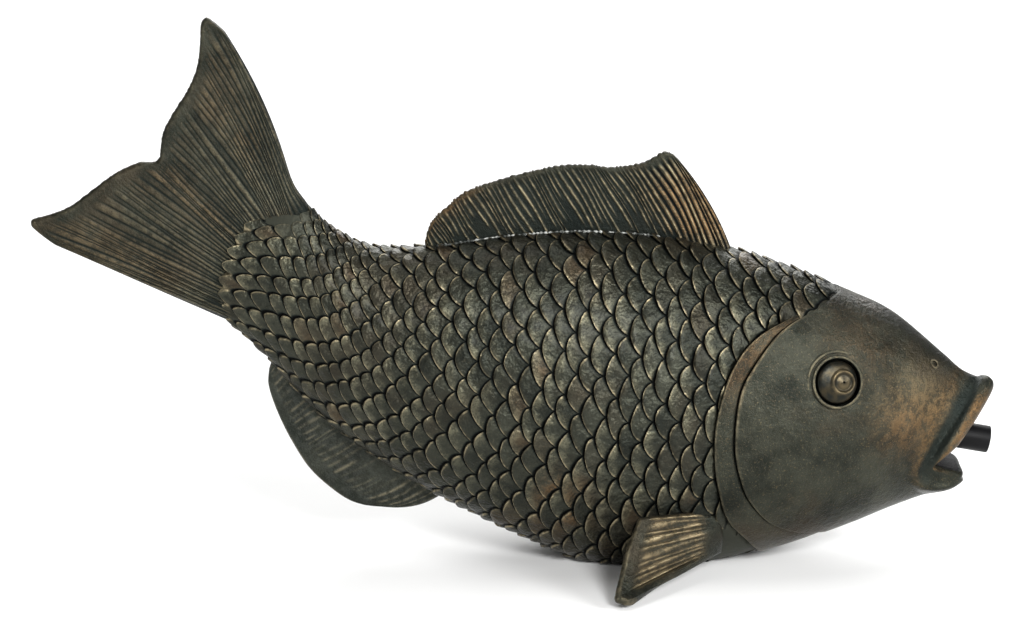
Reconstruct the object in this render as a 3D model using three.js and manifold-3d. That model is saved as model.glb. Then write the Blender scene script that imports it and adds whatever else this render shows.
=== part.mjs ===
// Fish water spitter: a hollow cast-resin carp that rests on its belly at the edge of a pond.
// Two half shells are bonded along the back and belly, with the fins and the eyes set into them.
// Water enters a threaded socket in the base plate, climbs a soft hose and leaves at the spout.
// Units are millimetres. +X is the way the fish faces, +Y its left side and +Z up.

import * as THREE from "three";
import { LoftGeometry } from "three/addons/geometries/LoftGeometry.js";
import { mergeVertices } from "three/addons/utils/BufferGeometryUtils.js";
import Module from "manifold-3d";

const wasm = await Module();
wasm.setup();

// Overall sizes. Outlines and stations are given in thousandths of them, from the middle of the base.
const fishLength = 371; // tail to spout
const fishWidth = 141; // over the pectoral fins
const fishHeight = 212;

// Casting
const wallThickness = 6;
const fitGap = 0.3; // left between pieces that seat in one another
const seamGap = 0.3; // bond line between the half shells
const backFullness = 1; // below 1 the section is squarer than an ellipse, above 1 more pointed
const bellyFullness = 0.8;
const cavityFront = 0.04; // hollow from here to here, as shares of the way from muzzle to tail
const cavityRear = 0.84;

// Stations from muzzle to tail root: back and belly points [x, z] on the mid-plane, and half width,
// in thousandths of the length, height and width
const stations = [
  { back: [310, 371.5], belly: [288.4, 113.2], halfWidth: 122 },
  { back: [256.1, 448.1], belly: [237.2, 89.6], halfWidth: 173.8 },
  { back: [207.5, 492.9], belly: [188.7, 59], halfWidth: 212.8 },
  { back: [153.6, 530.7], belly: [140.2, 30.7], halfWidth: 244.7 },
  { back: [88.9, 568.4], belly: [86.3, 0], halfWidth: 266 },
  { back: [10.8, 596.7], belly: [16.2, -21.2], halfWidth: 276.6 },
  { back: [-72.8, 606.1], belly: [-59.3, -11.8], halfWidth: 266 },
  { back: [-153.6, 596.7], belly: [-134.8, 42.5], halfWidth: 237.6 },
  { back: [-229.1, 577.8], belly: [-210.2, 108.5], halfWidth: 195 },
  { back: [-288.4, 577.8], belly: [-280.3, 181.6], halfWidth: 148.9 },
  { back: [-328.8, 613.2], belly: [-345, 271.2], halfWidth: 109.9 },
  { back: [-358.5, 658], belly: [-401.6, 384.4], halfWidth: 74.5 },
  { back: [-390.8, 646.2], belly: [-434, 438.7], halfWidth: 56.7 },
];

// Scales
const scaleRows = 20; // on each flank, from back to belly
const scaleColumns = 34; // half pitches along the trunk
const scaleTaper = 0.68; // length of the last scale over the first
const scaleRelief = 1.1;
const trunkFront = 0.15; // the scaled trunk starts here, hidden by the head

// Head and gill cover: rear outlines [x, z] from the nape down
const headRear = 0.5;
const gillFlapFront = 0.1;
const gillFlapRise = 1.1; // the soft flap stands this far above the trunk
const gillCoverRise = 2;
const headSegments = 36;
const gillFlapOutline = [
  [188.7, 575.5], [148.2, 509.4], [110.5, 467], [86.3, 410.4], [68.7, 344.3], [63.3, 273.6],
  [66, 188.7], [70.1, 127.4], [62, 47.2], [53.9, -42.5],
];
const gillCoverOutline = [
  [191.4, 575.5], [153.6, 504.7], [121.3, 457.5], [97, 400.9], [84.9, 334.9], [83.6, 264.2],
  [90.3, 193.4], [110.5, 132.1], [153.6, 87.3], [215.6, 37.7], [256.1, -42.5],
];

// Mouth: the rim's points [x, y, z] on the left side from the middle of the upper lip to the lower one
const upperLipRadius = 4.4;
const lowerLipRadius = 2.3;
const mouthRim = [
  [347.7, 0, 316], [330.2, 67.4, 275.9], [310, 94.3, 231.1], [291.1, 101.4, 195.8],
  [305.9, 93.6, 167.5], [321.6, 63.8, 153.8], [325.1, 0, 150.5],
];

// Spout, throat and grommet
const spoutProud = 3; // beyond the middle of the upper lip
const spoutDrop = 21.5; // below it
const spoutPitch = 9.8; // degrees below level
const spoutDiameter = 10.5;
const spoutWall = 1.75;
const spoutEngagement = 20; // length held in the hose
const spoutTravel = 8; // how far it can be pushed in
const throatDepth = 31; // from the spout's tip back to the rear wall of the mouth
const throatWall = 5;
const throatMargin = 2; // of the wall round the grommet's flange
const grommetWall = 2.4;
const grommetFlange = 2; // width and thickness of each flange
const hoseSetback = 1.7; // between the grommet and the hose's end

// Eyes
const eyeStation = 0.19;
const eyeAngle = 68; // degrees from the back round the section
const eyeDiameter = 16.4;
const eyeDepth = 4;
const eyeShoulder = 0.3; // of the eye above its socket, below the dome
const eyeDome = 2.6;
const eyeRimRadius = 1;

// Fins: outer edges [x, z], and where their roots run along the back or belly line
const dorsalFront = 0.333;
const dorsalRear = 0.665;
const dorsalEdge = [
  [13.5, 750], [-13.5, 730.2], [-43.1, 724.5], [-62, 728.8], [-94.3, 727.4], [-142.9, 708.5],
  [-188.7, 681.1], [-210.2, 650.9], [-226.4, 622.6], [-233.2, 584.9],
];
const tailStation = 0.917;
const tailEdge = [
  [-442, 984.9], [-452.8, 998.1], [-459, 962.3], [-462.3, 896.2], [-475.5, 860.4], [-494.6, 808],
  [-501.9, 775.9], [-504, 750], [-527, 734.4], [-552.6, 713.2], [-578.2, 684.9], [-636.1, 625],
  [-640.7, 612.3], [-625.3, 592],
];
const analFront = 0.66;
const analRear = 0.9;
const analEdge = [
  [-279, 87.7], [-301.9, 90.6], [-323.5, 108], [-353.6, 155.7], [-374.1, 213.2], [-388.9, 270.8],
  [-397, 318.4], [-396.2, 349.1],
];
const finSink = 5.5; // depth of a root below the skin
const finBow = 4; // bulge of a leading edge
const finRootThickness = 6;
const finEdgeThickness = 3;
const tailRootThickness = 10;
const rayRelief = 0.6;
const dorsalRays = 13;
const tailRays = 14;
const analRays = 8;
const pectoralRays = 7;
const tenonThickness = 3;
const tenonDepth = 5;
const tenonReach = 3; // how far a tenon runs into its fin
const tenonInset = 0.025; // its ends stop this share of the line short of the root's
const tailTenonDepth = 14;
const tailTenonHeight = 26;

// Pectoral fin: root points [x, y, z] from its seat on the skin, and edge points [x, y] from the seat
// with heights above the ground
const pectoralStation = 0.385;
const pectoralAngle = 137; // degrees from the back round the section
const pectoralRoot = [
  [21.6, 9.2, 56.6], [29.6, 23.4, 18.9], [27, 51.8, -28.3],
];
const pectoralEdge = [
  [-56.6, -104.3, 129.7], [-70.1, -175.2, 80.2], [-80.3, -295.7, 9.4],
];
const pegDiameter = 8;

// Inlet fitting, stacked up from the ground
const socketBore = 15;
const socketWall = 2.5;
const socketRoof = 2;
const inletFlangeWidth = 2.5;
const inletFlangeHeight = 2;
const sealThickness = 1.6;
const nutWall = 2;
const nutHeight = 4.5;
const nutClearance = 1.2; // round its corners
const threadSpare = 2.3; // above the nut
const shoulderHeight = 1.5; // from the threaded body in to the barb
const barbLength = 14;
const barbWall = 1.7;
const barbRidge = 0.3;
const barbRidges = 2;
const barbLead = 2; // plain length at the foot of the barb

// Base plate and its screws
const baseX = 0;
const baseStraight = 22; // length of its straight sides
const baseRim = 4.2; // round the inlet's flange
const baseThickness = 4;
const baseProud = 0.5; // the plate stands this far below the casting
const bossMargin = 5;
const bossCover = 1.6; // above the screws
const screwAngle = 35; // degrees round the plate's ends
const screwEdge = 2.2; // from a screw's head to the plate's edge
const screwDiameter = 3;
const screwLength = 9;
const screwPoint = 1.5;
const screwHead = 5.2;
const screwHeadHeight = 1.8;

// Hose and clip
const hoseEase = 0.55; // round the spout
const hoseWall = 2;
const hoseLift = 1; // of the hose's foot above the inlet's shoulder
const hoseLead = 1; // straight length above the barb
const clipLift = 2.5;
const clipWidth = 8;
const clipBand = 1;
const clipHousingLength = 12;
const clipHousingDepth = 6;
const clipHousingHeight = 8.4;
const clipScrewDiameter = 4;
const clipScrewOffset = 0.4; // from the housing's middle, away from the hose
const clipScrewOverhang = 0.5;
const clipHeadWidth = 1.2; // of the screw's head beyond its shank
const clipHeadLength = 3;
const clipHeadGap = 1;

const beyond = 400; // reaches past the fish on every side
const roundSegments = 16;
const screwSegments = 10;
const radians = THREE.MathUtils.degToRad;

// Places given in thousandths of the overall sizes
const overall = new THREE.Vector3(fishLength, fishWidth, fishHeight);
const placed = (x, y, z) => new THREE.Vector3(x, y, z).multiply(overall).divideScalar(1000);
const onMidPlane = ([x, z]) => placed(x, 0, z);
const inSideView = ([x, z]) => new THREE.Vector2(x * fishLength, z * fishHeight).divideScalar(1000);

// Sizes that follow from those above
const spoutRadius = spoutDiameter / 2;
const grommetBore = spoutRadius + fitGap;
const grommetRadius = grommetBore + grommetWall;
const grommetFlangeRadius = grommetRadius + grommetFlange;
const throatRadius = grommetFlangeRadius + throatMargin;
const throatRear = throatDepth + throatWall;
const hoseFrontDepth = throatRear + fitGap + grommetFlange + hoseSetback;
const spoutLength = hoseFrontDepth + spoutEngagement;
const hoseInner = spoutRadius + hoseEase;
const hoseOuter = hoseInner + hoseWall;
const barbRadius = hoseInner - fitGap - barbRidge;
const socketRadius = socketBore / 2;
const inletRadius = socketRadius + socketWall;
const inletFlangeRadius = inletRadius + inletFlangeWidth;
const nutRadius = inletRadius + nutWall;
const nutCorner = nutRadius / Math.cos(Math.PI / 6);
const sealBottom = baseThickness + fitGap;
const nutBottom = sealBottom + sealThickness + fitGap;
const inletTop = nutBottom + nutHeight + threadSpare;
const socketDepth = inletTop - socketRoof;
const hoseBottom = inletTop + shoulderHeight + hoseLift;
const barbTop = hoseBottom + barbLength;
const baseWidth = 2 * (inletFlangeRadius + fitGap + baseRim);
const screwHeadTop = fitGap + screwHeadHeight;
const screwTop = screwHeadTop + screwLength;
const bossHeight = screwTop + bossCover + fitGap;

// Body surface

const backLine = new THREE.SplineCurve(stations.map(({ back }) => inSideView(back)));
const bellyLine = new THREE.SplineCurve(stations.map(({ belly }) => inSideView(belly)));
const widthLine = new THREE.SplineCurve(stations.map(({ halfWidth }, i) =>
  new THREE.Vector2(i, (halfWidth * fishWidth) / 1000)));

// A point of the skin: t runs from muzzle to tail root, the angle from the back over the left flank.
// The section is an ellipse between the back and belly points, squared off by its fullness.
function bodyPoint(t, angle, inflate = 0) {
  const back = backLine.getPoint(t);
  const belly = bellyLine.getPoint(t);
  const offset = belly.clone().sub(back).setLength(inflate);
  back.sub(offset);
  belly.add(offset);
  const middle = back.lerp(belly, (1 - Math.cos(angle)) / 2);
  const fullness = Math.cos(angle) > 0 ? backFullness : bellyFullness;
  const side = Math.sin(angle);
  const width = (widthLine.getPoint(t).y + inflate) * Math.sign(side) * Math.abs(side) ** fullness;
  return new THREE.Vector3(middle.x, width, middle.y);
}

// A frame on the skin, with its Z axis along the outward normal
function skinFrame(t, angle, inflate = 0) {
  const step = 0.01;
  const origin = bodyPoint(t, angle, inflate);
  const along = bodyPoint(t + step, angle, inflate).sub(origin);
  const around = bodyPoint(t, angle + step, inflate).sub(origin);
  const normal = around.cross(along).normalize();
  const turn = new THREE.Quaternion().setFromUnitVectors(new THREE.Vector3(0, 0, 1), normal);
  return new THREE.Matrix4().compose(origin, turn, new THREE.Vector3(1, 1, 1));
}

function bodySection(t, segments, inflate) {
  return Array.from({ length: segments }, (_, k) => bodyPoint(t, (2 * Math.PI * k) / segments, inflate));
}

function bodyLoft(from, to, sections, segments, inflate) {
  const rings = Array.from({ length: sections + 1 }, (_, i) =>
    bodySection(THREE.MathUtils.lerp(from, to, i / sections), segments, inflate));
  return solid(new LoftGeometry(rings, { capStart: true, capEnd: true }));
}

// Solids

function solid(geometry) {
  const bare = new THREE.BufferGeometry();
  bare.setAttribute("position", geometry.getAttribute("position"));
  bare.setIndex(geometry.getIndex());
  const merged = mergeVertices(bare, 1e-4);
  return new wasm.Manifold(new wasm.Mesh({
    numProp: 3,
    vertProperties: Float32Array.from(merged.getAttribute("position").array),
    triVerts: Uint32Array.from(merged.getIndex().array),
  }));
}

function box(width, depth, height) {
  return new THREE.BoxGeometry(width, depth, height);
}

function cylinder(diameter, bottom, top, segments) {
  return lathe([[0, bottom], [diameter / 2, bottom], [diameter / 2, top], [0, top]], segments);
}

// Turned about Z, from [radius, z] points listed from the bottom on the outside to the top
function lathe(profile, segments = roundSegments) {
  const points = profile.map(([radius, z]) => new THREE.Vector2(radius, z));
  return new THREE.LatheGeometry(points, segments).rotateX(Math.PI / 2);
}

// A ring turned about Z, whose profile returns to its first point
function ring(profile, segments) {
  return lathe([...profile, profile[0]], segments);
}

function extrudeUp(shape, bottom, top) {
  const depth = top - bottom;
  const geometry = new THREE.ExtrudeGeometry(shape, { depth, bevelEnabled: false, curveSegments: 8 });
  return geometry.translate(0, 0, bottom);
}

// Extruded across the fish from a shape drawn in X and Z
function extrudeAcross(shape, width) {
  return extrudeUp(shape, -width / 2, width / 2).rotateX(Math.PI / 2);
}

// The plate's outline, grown by a margin
function plateOutline(margin) {
  const radius = baseWidth / 2 + margin;
  const reach = baseStraight / 2;
  const shape = new THREE.Shape();
  shape.absarc(baseX + reach, 0, radius, -Math.PI / 2, Math.PI / 2);
  shape.absarc(baseX - reach, 0, radius, Math.PI / 2, (3 * Math.PI) / 2);
  return shape;
}

// Two facing sheets of points, joined round their borders
function closedSheet(front, back) {
  const rows = front.length;
  const columns = front[0].length;
  const points = [...front.flat(), ...back.flat()];
  const far = rows * columns;
  const index = [];
  const quad = (a, b, c, d) => index.push(a, b, c, a, c, d);
  for (let i = 0; i < rows - 1; i++) {
    for (let j = 0; j < columns - 1; j++) {
      const a = i * columns + j;
      quad(a, a + 1, a + 1 + columns, a + columns);
      quad(far + a, far + a + columns, far + a + 1 + columns, far + a + 1);
    }
  }
  for (let j = 0; j < columns - 1; j++) {
    const last = (rows - 1) * columns + j;
    quad(j, far + j, far + j + 1, j + 1);
    quad(last + 1, far + last + 1, far + last, last);
  }
  for (let i = 0; i < rows - 1; i++) {
    const first = i * columns;
    const last = first + columns - 1;
    quad(first + columns, far + first + columns, far + first, first);
    quad(last, far + last, far + last + columns, last + columns);
  }
  const geometry = new THREE.BufferGeometry().setFromPoints(points);
  geometry.setIndex(index);
  return geometry;
}

// A fin between its root and its outer edge, with a ridge for every ray.
// The half thickness falls evenly from root to edge, and the first ray may bow outwards.
function finGeometry({ root, edge, rays, thickness = finRootThickness, rows = 3, bow = finBow }) {
  const rootCurve = new THREE.CatmullRomCurve3(root);
  const edgeCurve = new THREE.CatmullRomCurve3(edge);
  const firstRay = edgeCurve.getPoint(0).sub(rootCurve.getPoint(0)).normalize();
  const outward = rootCurve.getPoint(0).sub(rootCurve.getPoint(1)).projectOnPlane(firstRay);
  outward.setLength(bow);
  const middle = (a, r) => {
    const bulge = outward.clone().multiplyScalar(4 * r * (1 - r) * Math.max(0, 1 - 2 * a));
    return rootCurve.getPointAt(a).lerp(edgeCurve.getPointAt(a), r).add(bulge);
  };
  const columns = 2 * rays;
  const step = 0.01;
  const front = [];
  const back = [];
  for (let i = 0; i <= rows; i++) {
    front.push([]);
    back.push([]);
    for (let j = 0; j <= columns; j++) {
      const a = j / columns;
      const r = i / rows;
      const inset = Math.min(a, 1 - step);
      const run = Math.min(r, 1 - step);
      const across = middle(inset + step, run).sub(middle(inset, run));
      const along = middle(inset, run + step).sub(middle(inset, run));
      const normal = across.cross(along).normalize();
      const ridge = j % 2 === 1 ? rayRelief : 0;
      const half = THREE.MathUtils.lerp(thickness, finEdgeThickness, r) / 2 - rayRelief + ridge;
      front[i].push(middle(a, r).addScaledVector(normal, half));
      back[i].push(middle(a, r).addScaledVector(normal, -half));
    }
  }
  return closedSheet(front, back);
}

// Scaled trunk

// Scales sit at every other node of a grid of half pitches and rows. Each is two faces that rise from
// its front corner to a raised rear tip, and two small steps drop from the tip to the scales behind.
function scaledTrunk() {
  const midLine = new THREE.SplineCurve(stations.map(({ back, belly }) =>
    inSideView(back).lerp(inSideView(belly), 0.5)));
  const rows = 2 * scaleRows;
  const samples = 200;
  const start = midLine.getLengths(samples)[Math.round(samples * trunkFront)] / midLine.getLength();
  const station = (i) => {
    const x = i / scaleColumns;
    const share = (2 * x - (1 - scaleTaper) * x * x) / (1 + scaleTaper);
    return midLine.getUtoTmapping(THREE.MathUtils.lerp(start, 1, share));
  };
  const points = [];
  const low = new Map();
  const high = new Map();
  const key = (i, j) => i * rows + ((j + rows) % rows);
  for (let i = 0; i <= scaleColumns; i++) {
    for (let j = i % 2; j < rows; j += 2) {
      const angle = (2 * Math.PI * j) / rows;
      low.set(key(i, j), points.push(bodyPoint(station(i), angle)) - 1);
      high.set(key(i, j), points.push(bodyPoint(station(i), angle, scaleRelief)) - 1);
    }
  }
  const frontCentre = points.push(bodyPoint(station(0), Math.PI / 2).setY(0)) - 1;
  const rearCentre = points.push(bodyPoint(station(scaleColumns), Math.PI / 2).setY(0)) - 1;
  const index = [];
  for (let i = 0; i <= scaleColumns - 2; i++) {
    for (let j = i % 2; j < rows; j += 2) {
      const front = low.get(key(i, j));
      const left = low.get(key(i + 1, j + 1));
      const right = low.get(key(i + 1, j - 1));
      const tip = high.get(key(i + 2, j));
      const foot = low.get(key(i + 2, j));
      index.push(front, left, tip, front, tip, right);
      index.push(tip, left, foot, right, tip, foot);
      if (i === 0) {
        index.push(left, front, frontCentre, front, right, frontCentre);
      }
      if (i === scaleColumns - 2) {
        index.push(foot, left, rearCentre, right, foot, rearCentre);
      }
    }
  }
  const geometry = new THREE.BufferGeometry().setFromPoints(points);
  geometry.setIndex(index);
  return solid(geometry);
}

// Head

const spoutForward = new THREE.Vector3(Math.cos(radians(spoutPitch)), 0, -Math.sin(radians(spoutPitch)));
const upperLip = placed(...mouthRim[0]);
const spoutTip = upperLip.clone().add(new THREE.Vector3(spoutProud, 0, -spoutDrop));

// The frame at the spout's tip, with Z along the jet
const spoutFrame = new THREE.Matrix4()
  .makeRotationY(Math.PI / 2 + radians(spoutPitch))
  .setPosition(spoutTip);

const rimLeft = mouthRim.map((p) => placed(...p));
const rimRight = mouthRim.slice(1, -1).reverse().map(([x, y, z]) => placed(x, -y, z));
const rimCurve = new THREE.CatmullRomCurve3([...rimLeft, ...rimRight], true);

// A ring round the lip, offset from the rim away from the jet's line and forward along it
function lipSection(outward, forward) {
  return Array.from({ length: headSegments }, (_, k) => {
    const point = rimCurve.getPoint(k / headSegments);
    const away = point.clone().sub(spoutTip).projectOnPlane(spoutForward).normalize();
    const lower = THREE.MathUtils.smoothstep(1 - Math.abs(1 - (2 * k) / headSegments), 0.5, 0.8);
    const radius = THREE.MathUtils.lerp(upperLipRadius, lowerLipRadius, lower);
    return point.addScaledVector(away, outward * radius).addScaledVector(spoutForward, forward * radius);
  });
}

function throatSection() {
  return Array.from({ length: headSegments }, (_, k) => {
    const angle = (2 * Math.PI * k) / headSegments;
    const up = Math.cos(angle) * throatRadius;
    const left = Math.sin(angle) * throatRadius;
    return new THREE.Vector3(-up, left, -throatDepth).applyMatrix4(spoutFrame);
  });
}

function headLoft(inflate) {
  const sections = 8;
  const rings = [lipSection(0.1, 1), lipSection(0.8, 0.6), lipSection(1, -0.2), lipSection(0.7, -0.9)];
  for (let i = 0; i <= sections; i++) {
    const t = (headRear * i) / sections;
    rings.push(bodySection(t, headSegments, inflate * THREE.MathUtils.smoothstep(t, 0, 0.12)));
  }
  return solid(new LoftGeometry(rings, { capStart: true, capEnd: true }));
}

// The region in front of a rear outline, as a slab across the fish
function regionAhead(outline) {
  const points = outline.map(inSideView);
  const shape = new THREE.Shape(new THREE.SplineCurve(points).getPoints(16));
  shape.lineTo(beyond, points.at(-1).y);
  shape.lineTo(beyond, points[0].y);
  return solid(extrudeAcross(shape, beyond));
}

function mouthCavity() {
  const rings = [lipSection(0.2, 4), lipSection(-0.2, 1), lipSection(-0.9, 0.2), lipSection(-1.1, -1)];
  rings.push(throatSection());
  return solid(new LoftGeometry(rings, { capStart: true, capEnd: true }));
}

// Fin seats

// A point below the back or belly line, towards the middle of its section
function sunk(line, t, depth) {
  const centre = bodyPoint(t, Math.PI / 2).setY(0);
  const point = line.getPoint(t);
  const skin = new THREE.Vector3(point.x, 0, point.y);
  return skin.addScaledVector(centre.sub(skin).normalize(), depth);
}

function finRoot(line, from, to) {
  const steps = 3;
  return Array.from({ length: steps + 1 }, (_, k) =>
    sunk(line, THREE.MathUtils.lerp(from, to, k / steps), finSink));
}

// A plate on the mid-plane along the back or belly line, from inside the fin down into the shell
function finTenon(line, front, rear, gap) {
  const steps = 5;
  const inset = tenonInset - gap / line.getLength();
  const places = Array.from({ length: steps + 1 }, (_, k) =>
    THREE.MathUtils.lerp(front + inset, rear - inset, k / steps));
  const outer = places.map((t) => sunk(line, t, -tenonReach));
  const inner = places.map((t) => sunk(line, t, tenonDepth + gap));
  const outline = [...outer, ...inner.reverse()];
  const shape = new THREE.Shape(outline.map(({ x, z }) => new THREE.Vector2(x, z)));
  return solid(extrudeAcross(shape, tenonThickness + 2 * gap));
}

const tailTop = bodyPoint(1, 0);
const tailBottom = bodyPoint(1, Math.PI);
const tailDown = tailBottom.clone().sub(tailTop).normalize();
const tailOut = new THREE.Vector3(tailDown.z, 0, -tailDown.x);

function tailTenon(gap) {
  const middle = tailTop.clone().lerp(tailBottom, 0.5);
  const half = tailTenonHeight / 2 + gap;
  const depth = tailTenonDepth + gap;
  const corners = [[-half, tenonReach], [half, tenonReach], [half, -depth], [-half, -depth]];
  const shape = new THREE.Shape(corners.map(([down, out]) => {
    const { x, z } = middle.clone().addScaledVector(tailDown, down).addScaledVector(tailOut, out);
    return new THREE.Vector2(x, z);
  }));
  return solid(extrudeAcross(shape, tenonThickness + 2 * gap));
}

function mirrored(geometry) {
  return solid(geometry).mirror([0, 1, 0]);
}

// Assembly of the casting

function gillFlap(gap) {
  const sections = 6;
  return bodyLoft(gillFlapFront, headRear, sections, headSegments, gillFlapRise + gap)
    .intersect(regionAhead(gillFlapOutline));
}

// The room the casting takes up beside a fin
const clearBody = bodyLoft(0, 1, 36, 48, scaleRelief + fitGap).add(gillFlap(fitGap));

const dorsalTenon = (gap) => finTenon(backLine, dorsalFront, dorsalRear, gap);
const analTenon = (gap) => finTenon(bellyLine, analFront, analRear, gap);

const pectoralFrame = skinFrame(pectoralStation, -radians(pectoralAngle));
const pectoralSeat = new THREE.Vector3().setFromMatrixPosition(pectoralFrame);

function pectoralPeg(gap) {
  return cylinder(pegDiameter + 2 * gap, -wallThickness - 2 * gap, tenonReach).applyMatrix4(pectoralFrame);
}

const eyeFrame = skinFrame(eyeStation, -radians(eyeAngle), gillCoverRise);
const eyeRadius = eyeDiameter / 2;
const eyeSocket = cylinder(2 * (eyeRadius + fitGap), -eyeDepth - fitGap, 2 * eyeRadius)
  .applyMatrix4(eyeFrame);
const eyeRim = new THREE.TorusGeometry(eyeRadius + eyeRimRadius, eyeRimRadius, 6, 20)
  .applyMatrix4(eyeFrame);

const spoutRoom = spoutLength + spoutTravel + fitGap;
const throatHole = cylinder(2 * (grommetRadius + fitGap), -spoutRoom, fitGap - throatDepth)
  .applyMatrix4(spoutFrame);

function screwPlaces() {
  const reach = baseWidth / 2 - screwEdge - screwHead / 2;
  const x = baseStraight / 2 + reach * Math.cos(radians(screwAngle));
  const y = reach * Math.sin(radians(screwAngle));
  return [[x, y], [x, -y], [-x, -y], [-x, y]].map(([along, across]) =>
    new THREE.Vector3(baseX + along, across, 0));
}

function hollow() {
  const behindThroat = box(beyond, beyond, beyond)
    .translate(0, 0, -throatRear - beyond / 2)
    .applyMatrix4(spoutFrame);
  const boss = extrudeUp(plateOutline(bossMargin), -beyond, bossHeight);
  return bodyLoft(cavityFront, cavityRear, 12, 16, -wallThickness)
    .intersect(solid(behindThroat))
    .subtract(solid(boss));
}

function casting() {
  const cover = headLoft(gillCoverRise).intersect(regionAhead(gillCoverOutline));
  let body = scaledTrunk().add(gillFlap(0)).add(cover);
  body = body.add(solid(eyeRim)).add(mirrored(eyeRim));
  body = body.subtract(mouthCavity()).subtract(hollow()).subtract(solid(throatHole));
  body = body.subtract(solid(eyeSocket)).subtract(mirrored(eyeSocket));
  const belowRim = box(beyond, beyond, beyond).translate(0, 0, baseProud - beyond / 2);
  const rebate = extrudeUp(plateOutline(fitGap), -beyond, sealBottom);
  const opening = cylinder(2 * (nutCorner + nutClearance), 0, bossHeight + fitGap).translate(baseX, 0, 0);
  body = body.subtract(solid(belowRim)).subtract(solid(rebate)).subtract(solid(opening));
  for (const place of screwPlaces()) {
    const pilot = cylinder(screwDiameter + 2 * fitGap, 0, screwTop + fitGap, screwSegments);
    body = body.subtract(solid(pilot.translate(place.x, place.y, place.z)));
  }
  body = body.subtract(dorsalTenon(fitGap)).subtract(analTenon(fitGap)).subtract(tailTenon(fitGap));
  return body.subtract(solid(pectoralPeg(fitGap))).subtract(mirrored(pectoralPeg(fitGap)));
}

// Hose path: up from the inlet, round the bend and forward along the jet's line.
// The bend's radius is what fits between the top of the barb and the jet's line.
class HosePath extends THREE.Curve {
  constructor() {
    super();
    const pitch = radians(spoutPitch);
    const ahead = spoutTip.x - baseX;
    this.bendStart = barbTop + hoseLead;
    const room = spoutTip.z + ahead * Math.tan(pitch) - this.bendStart;
    const drop = (1 + Math.sin(pitch)) * Math.tan(pitch);
    this.radius = room / (Math.cos(pitch) + drop);
    this.turn = Math.PI / 2 + pitch;
    this.rise = this.bendStart - hoseBottom;
    this.arc = this.radius * this.turn;
    this.run = (ahead - this.radius * (1 + Math.sin(pitch))) / Math.cos(pitch) - hoseFrontDepth;
  }

  getPoint(t, target = new THREE.Vector3()) {
    const distance = t * (this.rise + this.arc + this.run);
    if (distance < this.rise) {
      return target.set(baseX, 0, hoseBottom + distance);
    }
    const turned = Math.min((distance - this.rise) / this.radius, this.turn);
    const ahead = Math.max(distance - this.rise - this.arc, 0);
    const x = baseX + this.radius * (1 - Math.cos(turned));
    target.set(x, 0, this.bendStart + this.radius * Math.sin(turned));
    return target.addScaledVector(spoutForward, ahead);
  }
}

// Finished pieces

const resin = new THREE.MeshStandardMaterial({ color: 0x4a4638, roughness: 0.5, metalness: 0.2 });
const eyeResin = new THREE.MeshStandardMaterial({ color: 0x26282a, roughness: 0.35 });
const blackPlastic = new THREE.MeshStandardMaterial({ color: 0x16171a, roughness: 0.45 });
const greyPlastic = new THREE.MeshStandardMaterial({ color: 0x55585c, roughness: 0.5 });
const rubber = new THREE.MeshStandardMaterial({ color: 0x222222, roughness: 0.8 });
const clearHose = new THREE.MeshStandardMaterial({ color: 0xb9c4c0, roughness: 0.3 });
const steel = new THREE.MeshStandardMaterial({ color: 0xb4b6b8, roughness: 0.3, metalness: 1 });

function meshOf(name, shape, material) {
  let geometry = shape;
  if (shape instanceof wasm.Manifold) {
    const { vertProperties, triVerts } = shape.getMesh();
    geometry = new THREE.BufferGeometry();
    geometry.setAttribute("position", new THREE.BufferAttribute(vertProperties, 3));
    geometry.setIndex(new THREE.BufferAttribute(triVerts, 1));
  }
  const mesh = new THREE.Mesh(geometry, material);
  mesh.name = name;
  return mesh;
}

function bodyGroup() {
  const group = new THREE.Group();
  group.name = "body";
  const whole = casting();
  const halfSpace = box(beyond, beyond, beyond);
  const leftHalf = solid(halfSpace.clone().translate(0, (beyond + seamGap) / 2, 0));
  const rightHalf = solid(halfSpace.clone().translate(0, -(beyond + seamGap) / 2, 0));
  group.add(meshOf("left_half_casting", whole.intersect(leftHalf), resin));
  group.add(meshOf("right_half_casting", whole.intersect(rightHalf), resin));

  const profile = [[0, -eyeDepth], [eyeRadius, -eyeDepth], [eyeRadius, eyeShoulder]];
  for (const degrees of [20, 40, 60, 80]) {
    const angle = radians(degrees);
    profile.push([eyeRadius * Math.cos(angle), eyeShoulder + eyeDome * Math.sin(angle)]);
  }
  profile.push([0, eyeShoulder + eyeDome]);
  const eye = lathe(profile);
  group.add(meshOf("right_eye", solid(eye.clone().applyMatrix4(eyeFrame)), eyeResin));
  group.add(meshOf("left_eye", mirrored(eye.clone().applyMatrix4(eyeFrame)), eyeResin));
  return group;
}

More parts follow.
